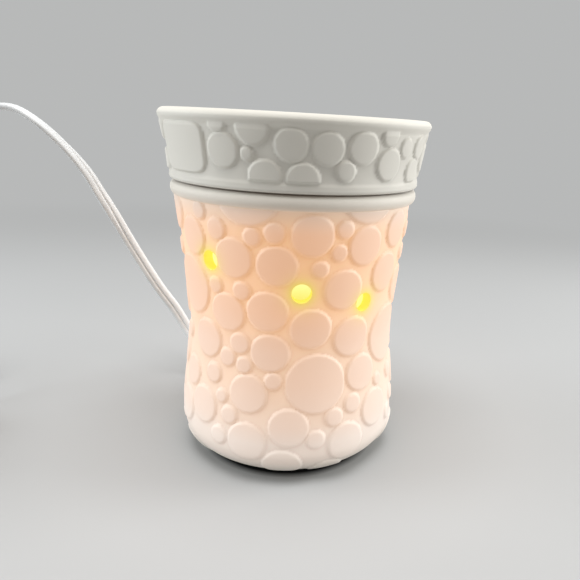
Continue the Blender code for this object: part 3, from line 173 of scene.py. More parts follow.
# Light of the bulb in the porcelain: (height above the underside, share)
GLOW = (
    (0.0, 0.0), (0.004, 0.06), (0.008, 0.46), (0.013, 0.90), (0.018, 1.02), (0.050, 0.97), (0.075, 1.05),
    (0.094, 1.00), (0.108, 0.96), (COLLAR_LEVEL - 0.0012, 0.68), (COLLAR_LEVEL, 0.50),
    (COLLAR_LEVEL + 0.0008, 0.22), (0.118, 0.10), (0.122, 0.02),
)
PALENESS = (
    (0.0, 1.0), (0.018, 0.95), (0.026, 0.65), (0.044, 0.36), (0.0575, 0.30), (0.075, 0.06), (0.090, 0.0),
    (0.106, 0.0), (COLLAR_LEVEL, 0.35),
)
HALO = 0.85               # strength of the halo at the edge of a hole
HALO_REACH = 0.0022
INSIDE_LOW = FLANGE_TOP - 0.001      # the inside is lit between these heights
INSIDE_HIGH = BODY_HEIGHT - 0.004
BOWL_SHADE = 0.6           # painted shade: how far deep in the bowl takes the darker colour of the lit wall
BOWL_SHADE_FROM = 0.008    # the painted shade fades out between these depths below the rim
BOWL_SHADE_TO = 0.002

# Lead
LEAD_WIDTH = 0.0064
LEAD_STEP = 0.0025        # between points along it
LEAD_SIDES = 48
LEAD_SQUARENESS = 0.78    # power of the sines in its section: 1 gives an oval, less a squarer one
GROOVE_WIDTH = 0.00042
GROOVE_CROWDING = 0.36    # how far the points round the lead crowd towards its grooves
RISE_ROUTE = (
    (-0.0563, 0.0650, 0.0236), (-0.0620, 0.0688, 0.0295), (-0.0685, 0.0702, 0.0400),
    (-0.0774, 0.0690, 0.0536), (-0.0884, 0.0660, 0.0744), (-0.0976, 0.0620, 0.0944),
    (-0.1035, 0.0590, 0.1068), (-0.1089, 0.0560, 0.1182), (-0.1167, 0.0520, 0.1299),
    (-0.1268, 0.0475, 0.1412), (-0.1390, 0.0470, 0.1482), (-0.1520, 0.0480, 0.1465),
    (-0.1620, 0.0495, 0.1380), (-0.1675, 0.0510, 0.1220), (-0.1700, 0.0520, 0.1000),
    (-0.1700, 0.0520, 0.0750), (-0.1700, 0.0490, 0.0500), (-0.1700, 0.0410, 0.0290),
    (-0.1700, 0.0290, 0.0150),
)
RISE_FACING = (           # (share of the length, direction of the lead's wide way)
    (0.0, (0.60, 0.0, 0.80)), (0.10, (0.85, 0.05, 0.50)), (0.25, (0.88, 0.12, 0.45)),
    (0.33, (0.60, 0.75, 0.30)), (0.41, (0.10, 1.0, 0.10)), (0.62, (0.0, 1.0, 0.0)),
    (0.85, (1.0, 0.05, 0.0)), (1.0, (1.0, 0.0, 0.0)),
)
STORED_FACING = (
    (0.0, (1.0, 0.0, 0.0)), (0.02, (0.7, 0.0, 0.7)), (0.035, (0.0, 0.0, 1.0)),
    (0.97, (0.0, 0.0, 1.0)), (1.0, (1.0, 0.0, 0.3)),
)
SWITCH_X = -0.1700
SWITCH_FROM = 0.0100
SWITCH_LENGTH = 0.0600
SWITCH_LEVEL = 0.00815
COIL_X = -0.2300
COIL_Y = -0.0375
COIL_LOW = 0.0047
COIL_INNER = 0.0260
COIL_PITCH = 0.0070
COIL_TURNS = 5.25
COIL_OUTER = COIL_INNER + COIL_PITCH * COIL_TURNS / 2
COIL_POINTS = 96          # in a turn

# Plug
PLUG_END = (-0.2640, 0.0197, 0.0078)
PLUG_LENGTH = 0.0300
PLUG_WIDTH = 0.0230
PLUG_THICKNESS = 0.0150
PLUG_ROUND = 0.0011
PLUG_RIDGE = 0.0004       # height of the finger ridges on the plug's narrow sides
PLUG_RIDGES = 5
PLUG_RIDGES_FROM = 0.60   # shares of the plug's length
PLUG_RIDGE_PITCH = 0.055
PLUG_WIDENS = (0.0, 0.72)
PLUG_THICKENS = (-0.05, 0.62)
PLUG_RIDGE_SIDE = (0.80, 0.95)    # shares of the half width over which the ridges rise
PLUG_NECK_WIDE = 0.36     # shares of the full width and thickness at the lead's end
PLUG_NECK_THICK = 0.52
PLUG_SIDES = 96
PLUG_SQUARENESS = 0.6     # power of the sines in its section

# Colours of the fittings, and of what the bulb lights from close by
ZINC = (0.62, 0.63, 0.64)
BRASS = (0.78, 0.60, 0.28)
TIN = (0.72, 0.71, 0.68)
WHITE_RUBBER = (0.74, 0.74, 0.72)
BLACK_PHENOLIC = (0.030, 0.029, 0.028)
WHITE_PLASTIC = (0.79, 0.79, 0.77)
WHITE_TIE = (0.72, 0.72, 0.70)
SEAM_SHADE = (0.10, 0.075, 0.055)
HOLE_PORCELAIN = (0.60, 0.48, 0.22)
HOLE_DEEP_GLOW = (0.62, 0.47, 0.03)
HOLE_PALE_GLOW = (0.54, 0.45, 0.04)
GLOBE_GLASS = (0.30, 0.26, 0.15)
GLOBE_DEEP_GLOW = (0.62, 0.46, 0.02)
GLOBE_PALE_GLOW = (0.70, 0.72, 0.32)
GLOBE_PALE_LEVEL = 0.072  # from which the globe's glow turns paler
GLOBE_PALE_OVER = 0.011   # height that the change takes

# Camera, from the photograph
CAMERA_PLACE = (0.0, -0.2660, 0.1492)
CAMERA_DOWN = 15.75       # degrees
CAMERA_RIGHT = 5.84       # turn to the right of the axis
CAMERA_ROLL = 3.25
FRAME_PIXELS = 580
FOCAL_PIXELS = 586
SHIFT_PIXELS = 60         # the photograph is a crop, with the middle of its lens this far to the right

# Stage
FLOOR_REACH = 8.0
FLOOR_LINES = 9
FLOOR_FADE_FROM = 0.32    # distance at which the floor starts to turn into the backdrop
FLOOR_FADE = 0.55
UNDERSHADE_RADIUS = 0.0420    # floor in the dark gap under the base
UNDERSHADE_FADE = 0.0040
UNDERSHADE = 0.04         # share of the floor's colour that is left there
BLACK = (0.0, 0.0, 0.0)
ROOM_COLOUR = (1.0, 0.965, 0.91)
SEEING_RAYS = ("Is Camera Ray", "Is Glossy Ray", "Is Transmission Ray")
LAMP_AIM = (0.0, 0.0, 0.08)
LAMPS = (                 # (name, place, size across, colour)
    ("left_light", (-0.95, 0.0, 0.30), 0.6, (0.94, 1.0, 1.05)),
    ("right_light", (0.95, 0.06, 0.32), 0.6, (0.98, 1.0, 1.01)),
    ("top_light", (0.0, -0.20, 1.25), 0.9, (1.0, 1.0, 1.0)),
)

# Fineness of the meshes
COLUMNS = 420             # round the porcelain
BODY_ROWS = 190           # up the body's outer wall
BAND_ROWS = 52            # up the dish's outer wall
DRILL_SIDES = 48
DRILL_MIDDLE = 0.85 * COLLAR_RADIUS    # distance of a drill's middle from the axis
DRILL_LENGTH = 0.60 * COLLAR_RADIUS
WELD = 1e-7               # points nearer than this are joined
DRILLED_WELD = 2e-6       # and after drilling
TOUCH = 1e-5              # room for rounding where a height is compared
SHARP_ANGLE = math.radians(50.0)


def length_property(name, description, default):
    return FloatProperty(name=name, description=description, default=default, unit="LENGTH", precision=4)


def colour_property(name, description, default):
    return FloatVectorProperty(name=name, description=description, default=default, subtype="COLOR")


def power_property(name, description, default):
    return FloatProperty(name=name, description=description, default=default, unit="POWER")


class WarmerSizes(bpy.types.PropertyGroup):
    body_relief: length_property("Body relief", "Height of the bubbles on the body", 0.0010)
    body_edge: length_property("Body edge", "Width of the rounded edge of a bubble on the body", 0.0014)
    dish_relief: length_property("Dish relief", "Height of the bubbles on the dish", 0.0012)
    dish_edge: length_property("Dish edge", "Width of the rounded edge of a bubble on the dish", 0.0014)
    lead_thickness: length_property("Lead thickness", "Thickness of the flat twin lead", 0.0034)
    lead_groove: length_property("Lead groove", "Depth of the groove between the lead's two cores", 0.0007)


class WarmerColours(bpy.types.PropertyGroup):
    # Lit bisque: a second, darker copy of the porcelain's colour, painted light on the lit wall and painted
    # shade deep in the bowl
    bisque: colour_property("Lit bisque", "Porcelain of the lit wall without its glow, and the bowl's tint",
                            (0.65, 0.622, 0.575))
    dish_bisque: colour_property("Bisque", "Porcelain of dish, collar and foot", (0.87, 0.834, 0.752))
    ground_glow: colour_property("Ground glow", "Bulb light through the plain wall", (0.595, 0.242, 0.042))
    bubble_glow: colour_property("Bubble glow", "Bulb light through the bubbles", (0.49, 0.186, 0.042))
    base_glow: colour_property("Base glow", "Paler light through the wall low down", (0.428, 0.333, 0.283))
    halo_glow: colour_property("Halo glow", "Light in the porcelain next to a hole", (0.50, 0.36, 0.0))
    inside_glow: colour_property("Inside glow", "Bulb light on the inside of the body", (0.66, 0.62, 0.20))
    lead: colour_property("Lead", "White insulation", (0.89, 0.905, 0.91))
    floor: colour_property("Floor", "Floor round the object", (0.53, 0.535, 0.535))
    backdrop: colour_property("Backdrop", "Plain backdrop seen past the floor", (0.48, 0.486, 0.484))


class WarmerLight(bpy.types.PropertyGroup):
    ambient: FloatProperty(name="Ambient", description="Even light from all round", default=0.25, min=0.0)
    left: power_property("Left", "Power of the soft light on the left", 5.0)
    right: power_property("Right", "Power of the soft light on the right", 6.4)
    above: power_property("Above", "Power of the soft light above", 12.0)


class Value:
    """A shader socket that takes part in Python arithmetic by adding Math nodes."""

    def __init__(self, finish, socket):
        self.finish = finish
        self.socket = socket

    def maths(self, operation, first, second=0.0):
        return self.finish.node("ShaderNodeMath", {"operation": operation}, {0: first, 1: second})

    def __add__(self, other):
        return self.maths("ADD", self, other)

    __radd__ = __add__

    def __sub__(self, other):
        return self.maths("SUBTRACT", self, other)

    def __rsub__(self, other):
        return self.maths("SUBTRACT", other, self)

    def __mul__(self, other):
        return self.maths("MULTIPLY", self, other)

    __rmul__ = __mul__

    def __truediv__(self, other):
        return self.maths("DIVIDE", self, other)

    def clipped(self):
        return self.finish.node("ShaderNodeClamp", {}, {"Value": self})


class Finish:
    """A Principled material built by name: constants on its sockets, varying values through nodes."""

    def __init__(self, name, **constants):
        self.material = bpy.data.materials.new(name)
        self.material.use_nodes = True
        self.tree = self.material.node_tree
        self.shader = self.tree.nodes["Principled BSDF"]
        self.constants(**constants)

    def constants(self, **values):
        for name, value in values.items():
            socket = self.shader.inputs[name.replace("_", " ")]
            socket.default_value = (*value, 1.0) if socket.type == "RGBA" else value

    def node(self, kind, settings, values, output=0):
        """Add a node: its type, its settings, then the values or links of its sockets; gives one output."""
        made = self.tree.nodes.new(kind)
        for name, value in settings.items():
            setattr(made, name, value)
        for name, value in values.items():
            socket = made.inputs[name]
            if isinstance(value, Value):
                self.tree.links.new(value.socket, socket)
            else:
                socket.default_value = (*value, 1.0) if socket.type == "RGBA" and len(value) == 3 else value
        return Value(self, made.outputs[output])

    def feed(self, name, value):
        self.tree.links.new(value.socket, self.shader.inputs[name])

    def place(self):
        return self.node("ShaderNodeTexCoord", {}, {}, "Object")

    def attribute(self, name):
        return self.node("ShaderNodeAttribute", {"attribute_name": name}, {}, "Fac")

    def noise(self, scale, detail):
        return self.node("ShaderNodeTexNoise", {}, {"Vector": self.place(), "Scale": scale, "Detail": detail})

    def mix(self, share, first, second, blend="MIX"):
        """A colour between two colours, by a share from 0 to 1."""
        settings = {"data_type": "RGBA", "blend_type": blend}
        return self.node("ShaderNodeMix", settings, {0: share, 6: first, 7: second}, 2)

    def bump(self, height, strength, distance):
        made = self.node("ShaderNodeBump", {}, {"Height": height, "Strength": strength, "Distance": distance})
        self.feed("Normal", made)


def spot(degrees, radius, height):
    """The point at an angle from the front, a distance from the axis and a height."""
    turn = math.radians(degrees)
    return Vector((radius * math.sin(turn), -radius * math.cos(turn), height))


def arc(centre, half_width, half_height, start, end, count):
    """Points of (radius, height) on an ellipse, evenly from one angle to another in degrees."""
    turns = np.radians(np.linspace(start, end, count))
    return np.stack([centre[0] + half_width * np.cos(turns), centre[1] + half_height * np.sin(turns)], axis=1)


def line(first, last, count):
    """Evenly spaced points of (radius, height) from first to last, without the last."""
    share = np.linspace(0.0, 1.0, count, endpoint=False)[:, None]
    return np.array(first) + share * (np.array(last) - np.array(first))


def signed_power(value, power):
    """The size of a value raised to a power, with its sign kept, which squares off the sines of an oval."""
    return np.sign(value) * np.abs(value) ** power


def turn_apart(turns, turn):
    """Angles from a turn, the short way round."""
    return (turns - turn + math.pi) % math.tau - math.pi


def wall_radius(height):
    """Plain body wall: a quarter ellipse at the base, a cosine to the waist, a power curve to the neck."""
    height = np.asarray(height, float)
    drop = np.clip((BASE_LEVEL - height) / BASE_LEVEL, 0.0, 1.0)
    base = FOOT_RADIUS + (BASE_RADIUS - FOOT_RADIUS) * np.sqrt(1.0 - drop * drop)
    down = np.clip((height - BASE_LEVEL) / (WAIST_LEVEL - BASE_LEVEL), 0.0, 1.0)
    middle = WAIST_RADIUS + (BASE_RADIUS - WAIST_RADIUS) * (0.5 + 0.5 * np.cos(math.pi * down))
    up = np.clip((height - WAIST_LEVEL) / (COLLAR_LEVEL - WAIST_LEVEL), 0.0, None)
    top = WAIST_RADIUS + (NECK_RADIUS - WAIST_RADIUS) * up ** NECK_CURVE
    return np.where(height < BASE_LEVEL, base, np.where(height < WAIST_LEVEL, middle, top))


def band_radius(height):
    """Plain dish band: a flare that opens faster towards the rim, as a power of the share of its height."""
    share = (np.asarray(height, float) - LIP_HEIGHT) / (BAND_TOP - LIP_HEIGHT)
    return BAND_LOW_RADIUS + (BAND_HIGH_RADIUS - BAND_LOW_RADIUS) * np.clip(share, 0.0, 1.0) ** BAND_CURVE


def eased(value, start, end):
    """0 before start, 1 after end, and a smooth step between them."""
    share = np.clip((value - start) / (end - start), 0.0, 1.0)
    return share * share * (3.0 - 2.0 * share)


def dish_proud(height, lift):
    """How far the dish stands out of its plain band: the greater of its edges (lip and rim) and its bubbles.

    The greater of two is half of their sum and their distance; the distance is rounded off where it is small.
    """
    lip = LIP_PROUD * (1.0 - eased(height, LIP_HEIGHT - LIP_FLANK, LIP_HEIGHT))
    rim = RIM_PROUD * eased(height, RIM_WIDEST - RIM_FLANK, RIM_WIDEST)
    bubble = lift * eased(height, LIP_HEIGHT - DISH_BUBBLE_START, LIP_HEIGHT + DISH_BUBBLE_FULL)
    edge = lip + rim
    apart = np.sqrt((edge - bubble) ** 2 + EDGE_BLEND ** 2) - EDGE_BLEND
    return 0.5 * (edge + bubble + apart)


class Wall:
    """A turned outer wall as a polyline of (radius, height), read by height or by the run along it."""

    def __init__(self, outline):
        self.radius, self.height = np.array(outline).T
        steps = np.hypot(np.diff(self.radius), np.diff(self.height))
        self.run = np.concatenate([[0.0], np.cumsum(steps)])

    def run_at(self, height):
        """Run at a height; past either end it goes on as far as the height does."""
        beyond = np.minimum(height - self.height[0], 0.0) + np.maximum(height - self.height[-1], 0.0)
        return np.interp(height, self.height, self.run) + beyond

    def radius_at(self, run):
        return np.interp(run, self.run, self.radius)

    def height_at(self, run):
        return np.interp(run, self.run, self.height)


def body_wall():
    """The body's plain wall, from its underside to the collar."""
    rounding = arc((FOOT_RADIUS, BASE_LEVEL), BASE_RADIUS - FOOT_RADIUS, BASE_LEVEL, -90.0, 0.0, 24)
    heights = np.linspace(BASE_LEVEL, COLLAR_LEVEL, 80)[1:]
    return Wall(np.vstack([rounding, np.stack([wall_radius(heights), heights], axis=1)]))


def dish_wall():
    """The dish's plain band, from the lip to the rim."""
    heights = np.linspace(LIP_HEIGHT, BAND_TOP, 24)
    return Wall(np.stack([band_radius(heights), heights], axis=1))


# A bubble: turn in radians, run up the wall, radius, the wall's own radius there, tallness and squareness
Bubble = namedtuple("Bubble", "turn run radius girth tall square")


def bubble_at(wall, degrees, height, diameter, tall=1.0, square=2.0):
    """The bubble at an angle from the front and a height on a wall."""
    run = float(wall.run_at(height))
    return Bubble(math.radians(degrees), run, diameter / 2, float(wall.radius_at(run)), tall, square)


def clearance(turn, run, girth, bubble):
    """Distance along the wall from a place to the middle of a bubble."""
    across = abs(turn - bubble.turn)
    across = min(across, math.tau - across)
    return math.hypot(across * (girth + bubble.girth) / 2, run - bubble.run)


def filled_bubbles(wall, placed, keep_clear, half_angle, sizes):
    """Add bubbles behind the listed ones: tries at seeded places, large ones first, where one fits."""
    dice = random.Random(FILL_SEED)
    bubbles = list(placed)
    for diameter, tries in sizes:
        radius = diameter / 2
        for _ in range(tries):
            turn = math.radians(dice.uniform(half_angle, 360.0 - half_angle))
            turn = turn if turn < math.pi else turn - math.tau
            run = dice.uniform(0.0, float(wall.run[-1]))
            girth = float(wall.radius_at(run))
            if (math.pi - abs(turn)) * girth < radius + BUBBLE_SPACE:
                continue
            if all(clearance(turn, run, girth, other) > radius + other.radius + BUBBLE_SPACE
                   for other in bubbles + keep_clear):
                bubbles.append(Bubble(turn, run, radius, girth, 1.0, 2.0))
    return bubbles


def body_bubbles(wall):
    """All the body's bubbles; the filled-in ones keep off the light holes and the lead's exit."""
    placed = [bubble_at(wall, *row) for row in BODY_BUBBLES]
    keep_clear = [bubble_at(wall, degrees, height, LIGHT_HOLE) for degrees, height in LIGHT_HOLES]
    keep_clear.append(bubble_at(wall, EXIT_ANGLE, EXIT_HEIGHT, 2 * BOOT_FLANGE_RADIUS + 2 * GAP))
    return filled_bubbles(wall, placed, keep_clear, BODY_HAND_PLACED, BODY_FILL)


def dish_bubbles(wall):
    """All the dish's bubbles; the first one is then squared off."""
    placed = [bubble_at(wall, *row) for row in DISH_BUBBLES]
    bubbles = filled_bubbles(wall, placed, [], DISH_HAND_PLACED, DISH_FILL)
    degrees, height, width, depth, square = DISH_PANEL
    bubbles[0] = bubble_at(wall, degrees, height, width, depth / width, square)
    return bubbles


def away_from(bubble, turns, runs):
    """Distance along the wall from a bubble's middle: a root of summed powers; power 2 gives a circle."""
    across = np.abs(turn_apart(turns, bubble.turn)) * bubble.girth
    along = np.abs(runs - bubble.run) / bubble.tall
    return (across ** bubble.square + along ** bubble.square) ** (1.0 / bubble.square)


def bubble_cover(turns, runs, bubbles, edge):
    """How far a point is up a bubble, 0 to 1: a quarter sine in over the edge, and a faint crown on top."""
    cover = np.zeros(np.broadcast(turns, runs).shape)
    for bubble in bubbles:
        away = away_from(bubble, turns, runs)
        rise = np.clip((bubble.radius + BUBBLE_SPREAD - away) / edge, 0.0, 1.0)
        crown = 1.0 - BUBBLE_CROWN * np.clip(away / bubble.radius, 0.0, 1.0) ** 2
        cover = np.maximum(cover, np.sin(0.5 * math.pi * rise) * crown)
    return cover


def bubble_outline(turns, runs, bubbles, width):
    """How close a point is to the foot of a bubble, 0 to 1: a bell curve across the outline."""
    close = np.zeros(np.broadcast(turns, runs).shape)
    for bubble in bubbles:
        beyond = away_from(bubble, turns, runs) - bubble.radius - BUBBLE_SPREAD
        close = np.maximum(close, np.exp(-(beyond / width) ** 2))
    return close


def body_profile(wall, runs):
    """Outline of the body as (radius, height): up its wall, over the collar, down inside, out underneath."""
    outer = np.stack([wall.radius_at(runs), wall.height_at(runs)], axis=1)
    half = COLLAR_HEIGHT / 2
    crest = COLLAR_RADIUS - COLLAR_CREST
    collar = arc((crest, BODY_HEIGHT - half), COLLAR_CREST, half, COLLAR_FROM, 90.0, 14)
    bend = (MOUTH_RADIUS + MOUTH_ROUND, BODY_HEIGHT - MOUTH_ROUND)
    edge = arc(bend, MOUTH_ROUND, MOUTH_ROUND, 90.0, 180.0, 5)
    heights = np.linspace(COLLAR_LEVEL, BASE_LEVEL, 14)
    inner = np.stack([wall_radius(heights) - WALL, heights], axis=1)
    bend = (BASE_RADIUS - WALL - INNER_CORNER, FLANGE_TOP + INNER_CORNER)
    corner = arc(bend, INNER_CORNER, INNER_CORNER, -15.0, -90.0, 6)
    below = [(FLANGE_HOLE, FLANGE_TOP), (FLANGE_HOLE, FLANGE_LOW), (RECESS_RADIUS, FLANGE_LOW),
             (RECESS_RADIUS, RECESS_EDGE), (RECESS_RADIUS + RECESS_EDGE, 0.0)]
    return np.vstack([outer, collar, edge, inner, corner, below]) + (0.0, UNDERSIDE)


def dish_profile(heights):
    """Outline of the dish as (radius, height), from the middle of its underside out, up and in to its floor.

    The number of the outline's first row on the band comes with it.
    """
    spigot = MOUTH_RADIUS - SPIGOT_CLEARANCE
    bend = (spigot - SPIGOT_CORNER, SPIGOT_CORNER - SPIGOT_DEPTH)
    under = line((0.0, -SPIGOT_DEPTH), (bend[0], -SPIGOT_DEPTH), 5)
    foot = arc(bend, SPIGOT_CORNER, SPIGOT_CORNER, -90.0, 0.0, 7)
    bend = (BAND_LOW_RADIUS + LIP_PROUD - LIP_ROUND, LIP_ROUND)
    lip = arc(bend, LIP_ROUND, LIP_ROUND, -90.0, 0.0, 9)[:-1]
    below = np.vstack([under, foot, [(spigot, 0.0)], lip])
    band = np.stack([band_radius(heights), heights], axis=1)
    bend = (BAND_HIGH_RADIUS + RIM_PROUD - RIM_ROUND, RIM_WIDEST)
    rim = arc(bend, RIM_ROUND, RIM_ROUND, 0.0, 90.0, 10)[1:]
    bend = (BAND_HIGH_RADIUS - DISH_WALL + RIM_INNER_ROUND, DISH_HEIGHT - RIM_INNER_ROUND)
    edge = arc(bend, RIM_INNER_ROUND, RIM_INNER_ROUND, 90.0, 180.0, 9)
    low = BAND_LOW_RADIUS - DISH_WALL
    floor = DISH_FLOOR - SPIGOT_DEPTH
    bend = (low - BOWL_CORNER_WIDTH, floor + BOWL_CORNER_HEIGHT)
    down = line(edge[-1], (low, bend[1]), 8)[1:]
    bowl = arc(bend, BOWL_CORNER_WIDTH, BOWL_CORNER_HEIGHT, 0.0, -90.0, 24)
    bottom = line(bowl[-1], (0.0, floor), 6)[1:]
    profile = np.vstack([below, band, rim, edge, down, bowl, bottom, [(0.0, floor)]])
    return profile + (0.0, DISH_EDGE), len(below)


def turned_grid(profile, columns):
    """A profile of (radius, height) carried round the axis: rows by columns of points, and their turns."""
    turns = -math.pi + math.tau * np.arange(columns) / columns
    radius, height = profile[:, 0][:, None], profile[:, 1][:, None]
    level = np.broadcast_to(height, (len(profile), columns))
    points = np.stack([radius * np.sin(turns), -radius * np.cos(turns), level], axis=2)
    return points, turns


def push_out(points, turns, lift):
    """Move rows of points straight out from the axis by a lift."""
    points[:, :, 0] += lift * np.sin(turns)
    points[:, :, 1] -= lift * np.cos(turns)


def grid_quads(rows, columns, wrap_rows=False, wrap_columns=True):
    """Corner numbers of the quads of a grid, row by row; a wrapped way joins its last line to its first."""
    low = np.arange(rows if wrap_rows else rows - 1)[:, None]
    left = np.arange(columns if wrap_columns else columns - 1)[None, :]
    high = (low + 1) % rows
    right = (left + 1) % columns
    quads = [low * columns + left, low * columns + right, high * columns + right, high * columns + left]
    return np.stack([np.broadcast_to(q, (low.size, left.size)) for q in quads], axis=2).reshape(-1, 4)


def end_caps(rows, columns):
    """Corner numbers of the faces that close the first and the last row of a tube."""
    ring = np.arange(columns)
    return ring[::-1], ring + (rows - 1) * columns


def weld(mesh, near):
    """Join points nearer than a distance, and drop the faces and edges that this leaves without size."""
    work = bmesh.new()
    work.from_mesh(mesh)
    bmesh.ops.remove_doubles(work, verts=work.verts, dist=near)
    bmesh.ops.dissolve_degenerate(work, edges=work.edges, dist=0.1 * near)
    work.to_mesh(mesh)
    work.free()


def add_piece(name, points, quads, finish, body, replaces=(), caps=()):
    """Link a mesh of points and quads as a piece that rides on a body; caps are faces that close its ends."""
    mesh = bpy.data.meshes.new(name)
    mesh.from_pydata(points.reshape(-1, 3).tolist(), [], quads.tolist() + [list(cap) for cap in caps])
    weld(mesh, WELD)
    mesh.shade_smooth()
    mesh.materials.append(finish.material)
    made = bpy.data.objects.new(name, mesh)
    bpy.context.scene.collection.objects.link(made)
    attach(made, body)
    if replaces:
        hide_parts(*replaces)
    return made


def add_attribute(made, name, values):
    """Add a vertex layer that a finish reads by name."""
    layer = made.data.attributes.new(name, "FLOAT", "POINT")
    layer.data.foreach_set("value", np.asarray(values, np.float32))


def turned_points(made, base):
    """A mesh's points as turns from the front, distances from the axis and heights above a base."""
    flat = np.zeros(3 * len(made.data.vertices), np.float32)
    made.data.vertices.foreach_get("co", flat)
    x, y, z = flat.reshape(-1, 3).astype(float).T
    return np.arctan2(x, -y), np.hypot(x, y), z - base


def wall_normals(turns, along, shape):
    """Exact outward normals of a turned wall: shape gives radius and height at a turn and a place along it.

    The normal is the cross product of the two tangents, from small central steps: with radius R, height H,
    turn t and place s it is (R Hs) outwards, minus (Rt Hs) round the axis, minus (R Rs) upwards.
    """
    turn_step = 0.002
    step = 0.0001
    right, left = shape(turns + turn_step, along)[0], shape(turns - turn_step, along)[0]
    high, low = shape(turns, along + step), shape(turns, along - step)
    radius = 0.5 * (right + left)
    round_rate = (right - left) / (2.0 * turn_step)
    out_rate, up_rate = (high[0] - low[0]) / (2.0 * step), (high[1] - low[1]) / (2.0 * step)
    out, across, up = radius * up_rate, -round_rate * up_rate, -radius * out_rate
    sine, cosine = np.sin(turns), np.cos(turns)
    normals = np.stack([out * sine + across * cosine, -out * cosine + across * sine, up], axis=1)
    return normals / np.maximum(np.linalg.norm(normals, axis=1, keepdims=True), 1e-12)


def set_wall_normals(made, normals, on_wall):
    """Shade the faces of a bubbled wall by its exact normals; the corners of other faces keep their own."""
    mesh = made.data
    corner = np.zeros(len(mesh.loops), np.int32)
    mesh.loops.foreach_get("vertex_index", corner)
    first, count, slot = (np.zeros(len(mesh.polygons), np.int32) for _ in range(3))
    mesh.polygons.foreach_get("loop_start", first)
    mesh.polygons.foreach_get("loop_total", count)
    mesh.polygons.foreach_get("material_index", slot)
    wanted = np.minimum.reduceat(on_wall[corner].astype(int), first) * (slot == 0)
    mesh.normals_split_custom_set((normals[corner] * np.repeat(wanted, count)[:, None]).tolist())


def drill(made, tools, finish):
    """Cut round rods out of a piece: each tool is (degrees, height, radius) and points out from the axis."""
    work = bmesh.new()
    for degrees, height, radius in tools:
        aim = spot(degrees, 1.0, 0.0).to_track_quat("Z", "Y").to_matrix().to_4x4()
        place = Matrix.Translation(spot(degrees, DRILL_MIDDLE, height)) @ aim
        bmesh.ops.create_cone(work, cap_ends=True, segments=DRILL_SIDES, radius1=radius, radius2=radius,
                              depth=DRILL_LENGTH, matrix=place)
    mesh = bpy.data.meshes.new("drill")
    work.to_mesh(mesh)
    work.free()
    mesh.materials.append(finish.material)
    cutter = bpy.data.objects.new("drill", mesh)
    bpy.context.scene.collection.objects.link(cutter)
    cut = made.modifiers.new("holes", "BOOLEAN")
    cut.operation = "DIFFERENCE"
    cut.solver = "EXACT"
    cut.material_mode = "TRANSFER"
    cut.object = cutter
    bpy.context.view_layer.update()
    whole = bpy.data.meshes.new_from_object(made.evaluated_get(bpy.context.evaluated_depsgraph_get()))
    made.modifiers.clear()
    made.data = whole
    bpy.data.objects.remove(cutter)
    weld(whole, DRILLED_WELD)
    whole.set_sharp_from_angle(angle=SHARP_ANGLE)


def smooth_route(start, points, end, spacing):
    """A straight stub from start, even steps on a smooth (Catmull-Rom) curve, and a stub to end."""
    given = np.array([start, *points, end], float)
    fine = []
    for p0, p1, p2, p3 in zip(given, given[1:], given[2:], given[3:]):
        u = np.linspace(0.0, 1.0, 24, endpoint=False)[:, None]
        bend = (2 * p0 - 5 * p1 + 4 * p2 - p3) * u + (3 * p1 - 3 * p2 + p3 - p0) * u * u
        fine.append(p1 + 0.5 * u * ((p2 - p0) + bend))
    fine = np.vstack(fine + [given[-2:-1]])
    run = path_run(fine)
    marks = np.linspace(0.0, run[-1], max(round(run[-1] / spacing), 2) + 1)
    curve = np.stack([np.interp(marks, run, fine[:, k]) for k in range(3)], axis=1)
    return np.vstack([given[:1], curve, given[-1:]])


def path_run(path):
    """Distance along a path at each of its points."""
    return np.concatenate([[0.0], np.cumsum(np.linalg.norm(np.diff(path, axis=0), axis=1))])


def lead_section(thickness, groove):
    """Outline of the flat twin lead: a squarish oval, with a narrow bell-shaped groove along each flat side.

    The angles crowd together towards the middle of the flats, where the groove is.
    """
    turns = math.tau * np.arange(LEAD_SIDES) / LEAD_SIDES
    turns = turns + GROOVE_CROWDING * np.sin(2.0 * turns)
    across = LEAD_WIDTH / 2 * signed_power(np.cos(turns), LEAD_SQUARENESS)
    up = thickness / 2 * signed_power(np.sin(turns), LEAD_SQUARENESS)
    return across, up - np.sign(up) * groove * np.exp(-(across / GROOVE_WIDTH) ** 2)


def lead_tube(path, wide_keys, thickness, groove):
    """The lead's outline carried along a path; its wide way follows keys, kept square to the path."""
    run = path_run(path)
    ahead = np.gradient(path, run, axis=0)
    ahead /= np.linalg.norm(ahead, axis=1, keepdims=True)
    marks = np.array([key[0] for key in wide_keys]) * run[-1]
    aims = np.array([key[1] for key in wide_keys], float)
    wide = np.stack([np.interp(run, marks, aims[:, k]) for k in range(3)], axis=1)
    wide -= ahead * np.sum(wide * ahead, axis=1, keepdims=True)
    wide /= np.linalg.norm(wide, axis=1, keepdims=True)
    thin = np.cross(ahead, wide)
    across, up = lead_section(thickness, groove)
    aside = across[None, :, None] * wide[:, None, :]
    points = path[:, None, :] + aside + up[None, :, None] * thin[:, None, :]
    rows, columns = points.shape[:2]
    return points, grid_quads(rows, columns), end_caps(rows, columns)


def coil_path():
    """Straight in, spiral in, climb a layer in the half turn of the reversal, spiral out, straight out."""
    turns = np.linspace(0.0, COIL_TURNS, round(COIL_TURNS * COIL_POINTS) + 1)
    radius = COIL_INNER + COIL_PITCH * np.abs(COIL_TURNS / 2 - turns)
    climb = np.clip((turns - COIL_TURNS / 2) / 0.5 + 0.5, 0.0, 1.0)
    height = COIL_LOW + COIL_PITCH * climb * climb * (3 - 2 * climb)
    angle = -math.pi / 2 - math.tau * turns
    ring = np.stack([COIL_X + radius * np.cos(angle), COIL_Y + radius * np.sin(angle), height], axis=1)
    start = np.array([(COIL_X + 2 * LEAD_WIDTH, COIL_Y - COIL_OUTER, COIL_LOW)])
    return np.vstack([start, ring, ring[-1:] + (0.0, LEAD_WIDTH, 0.0)])


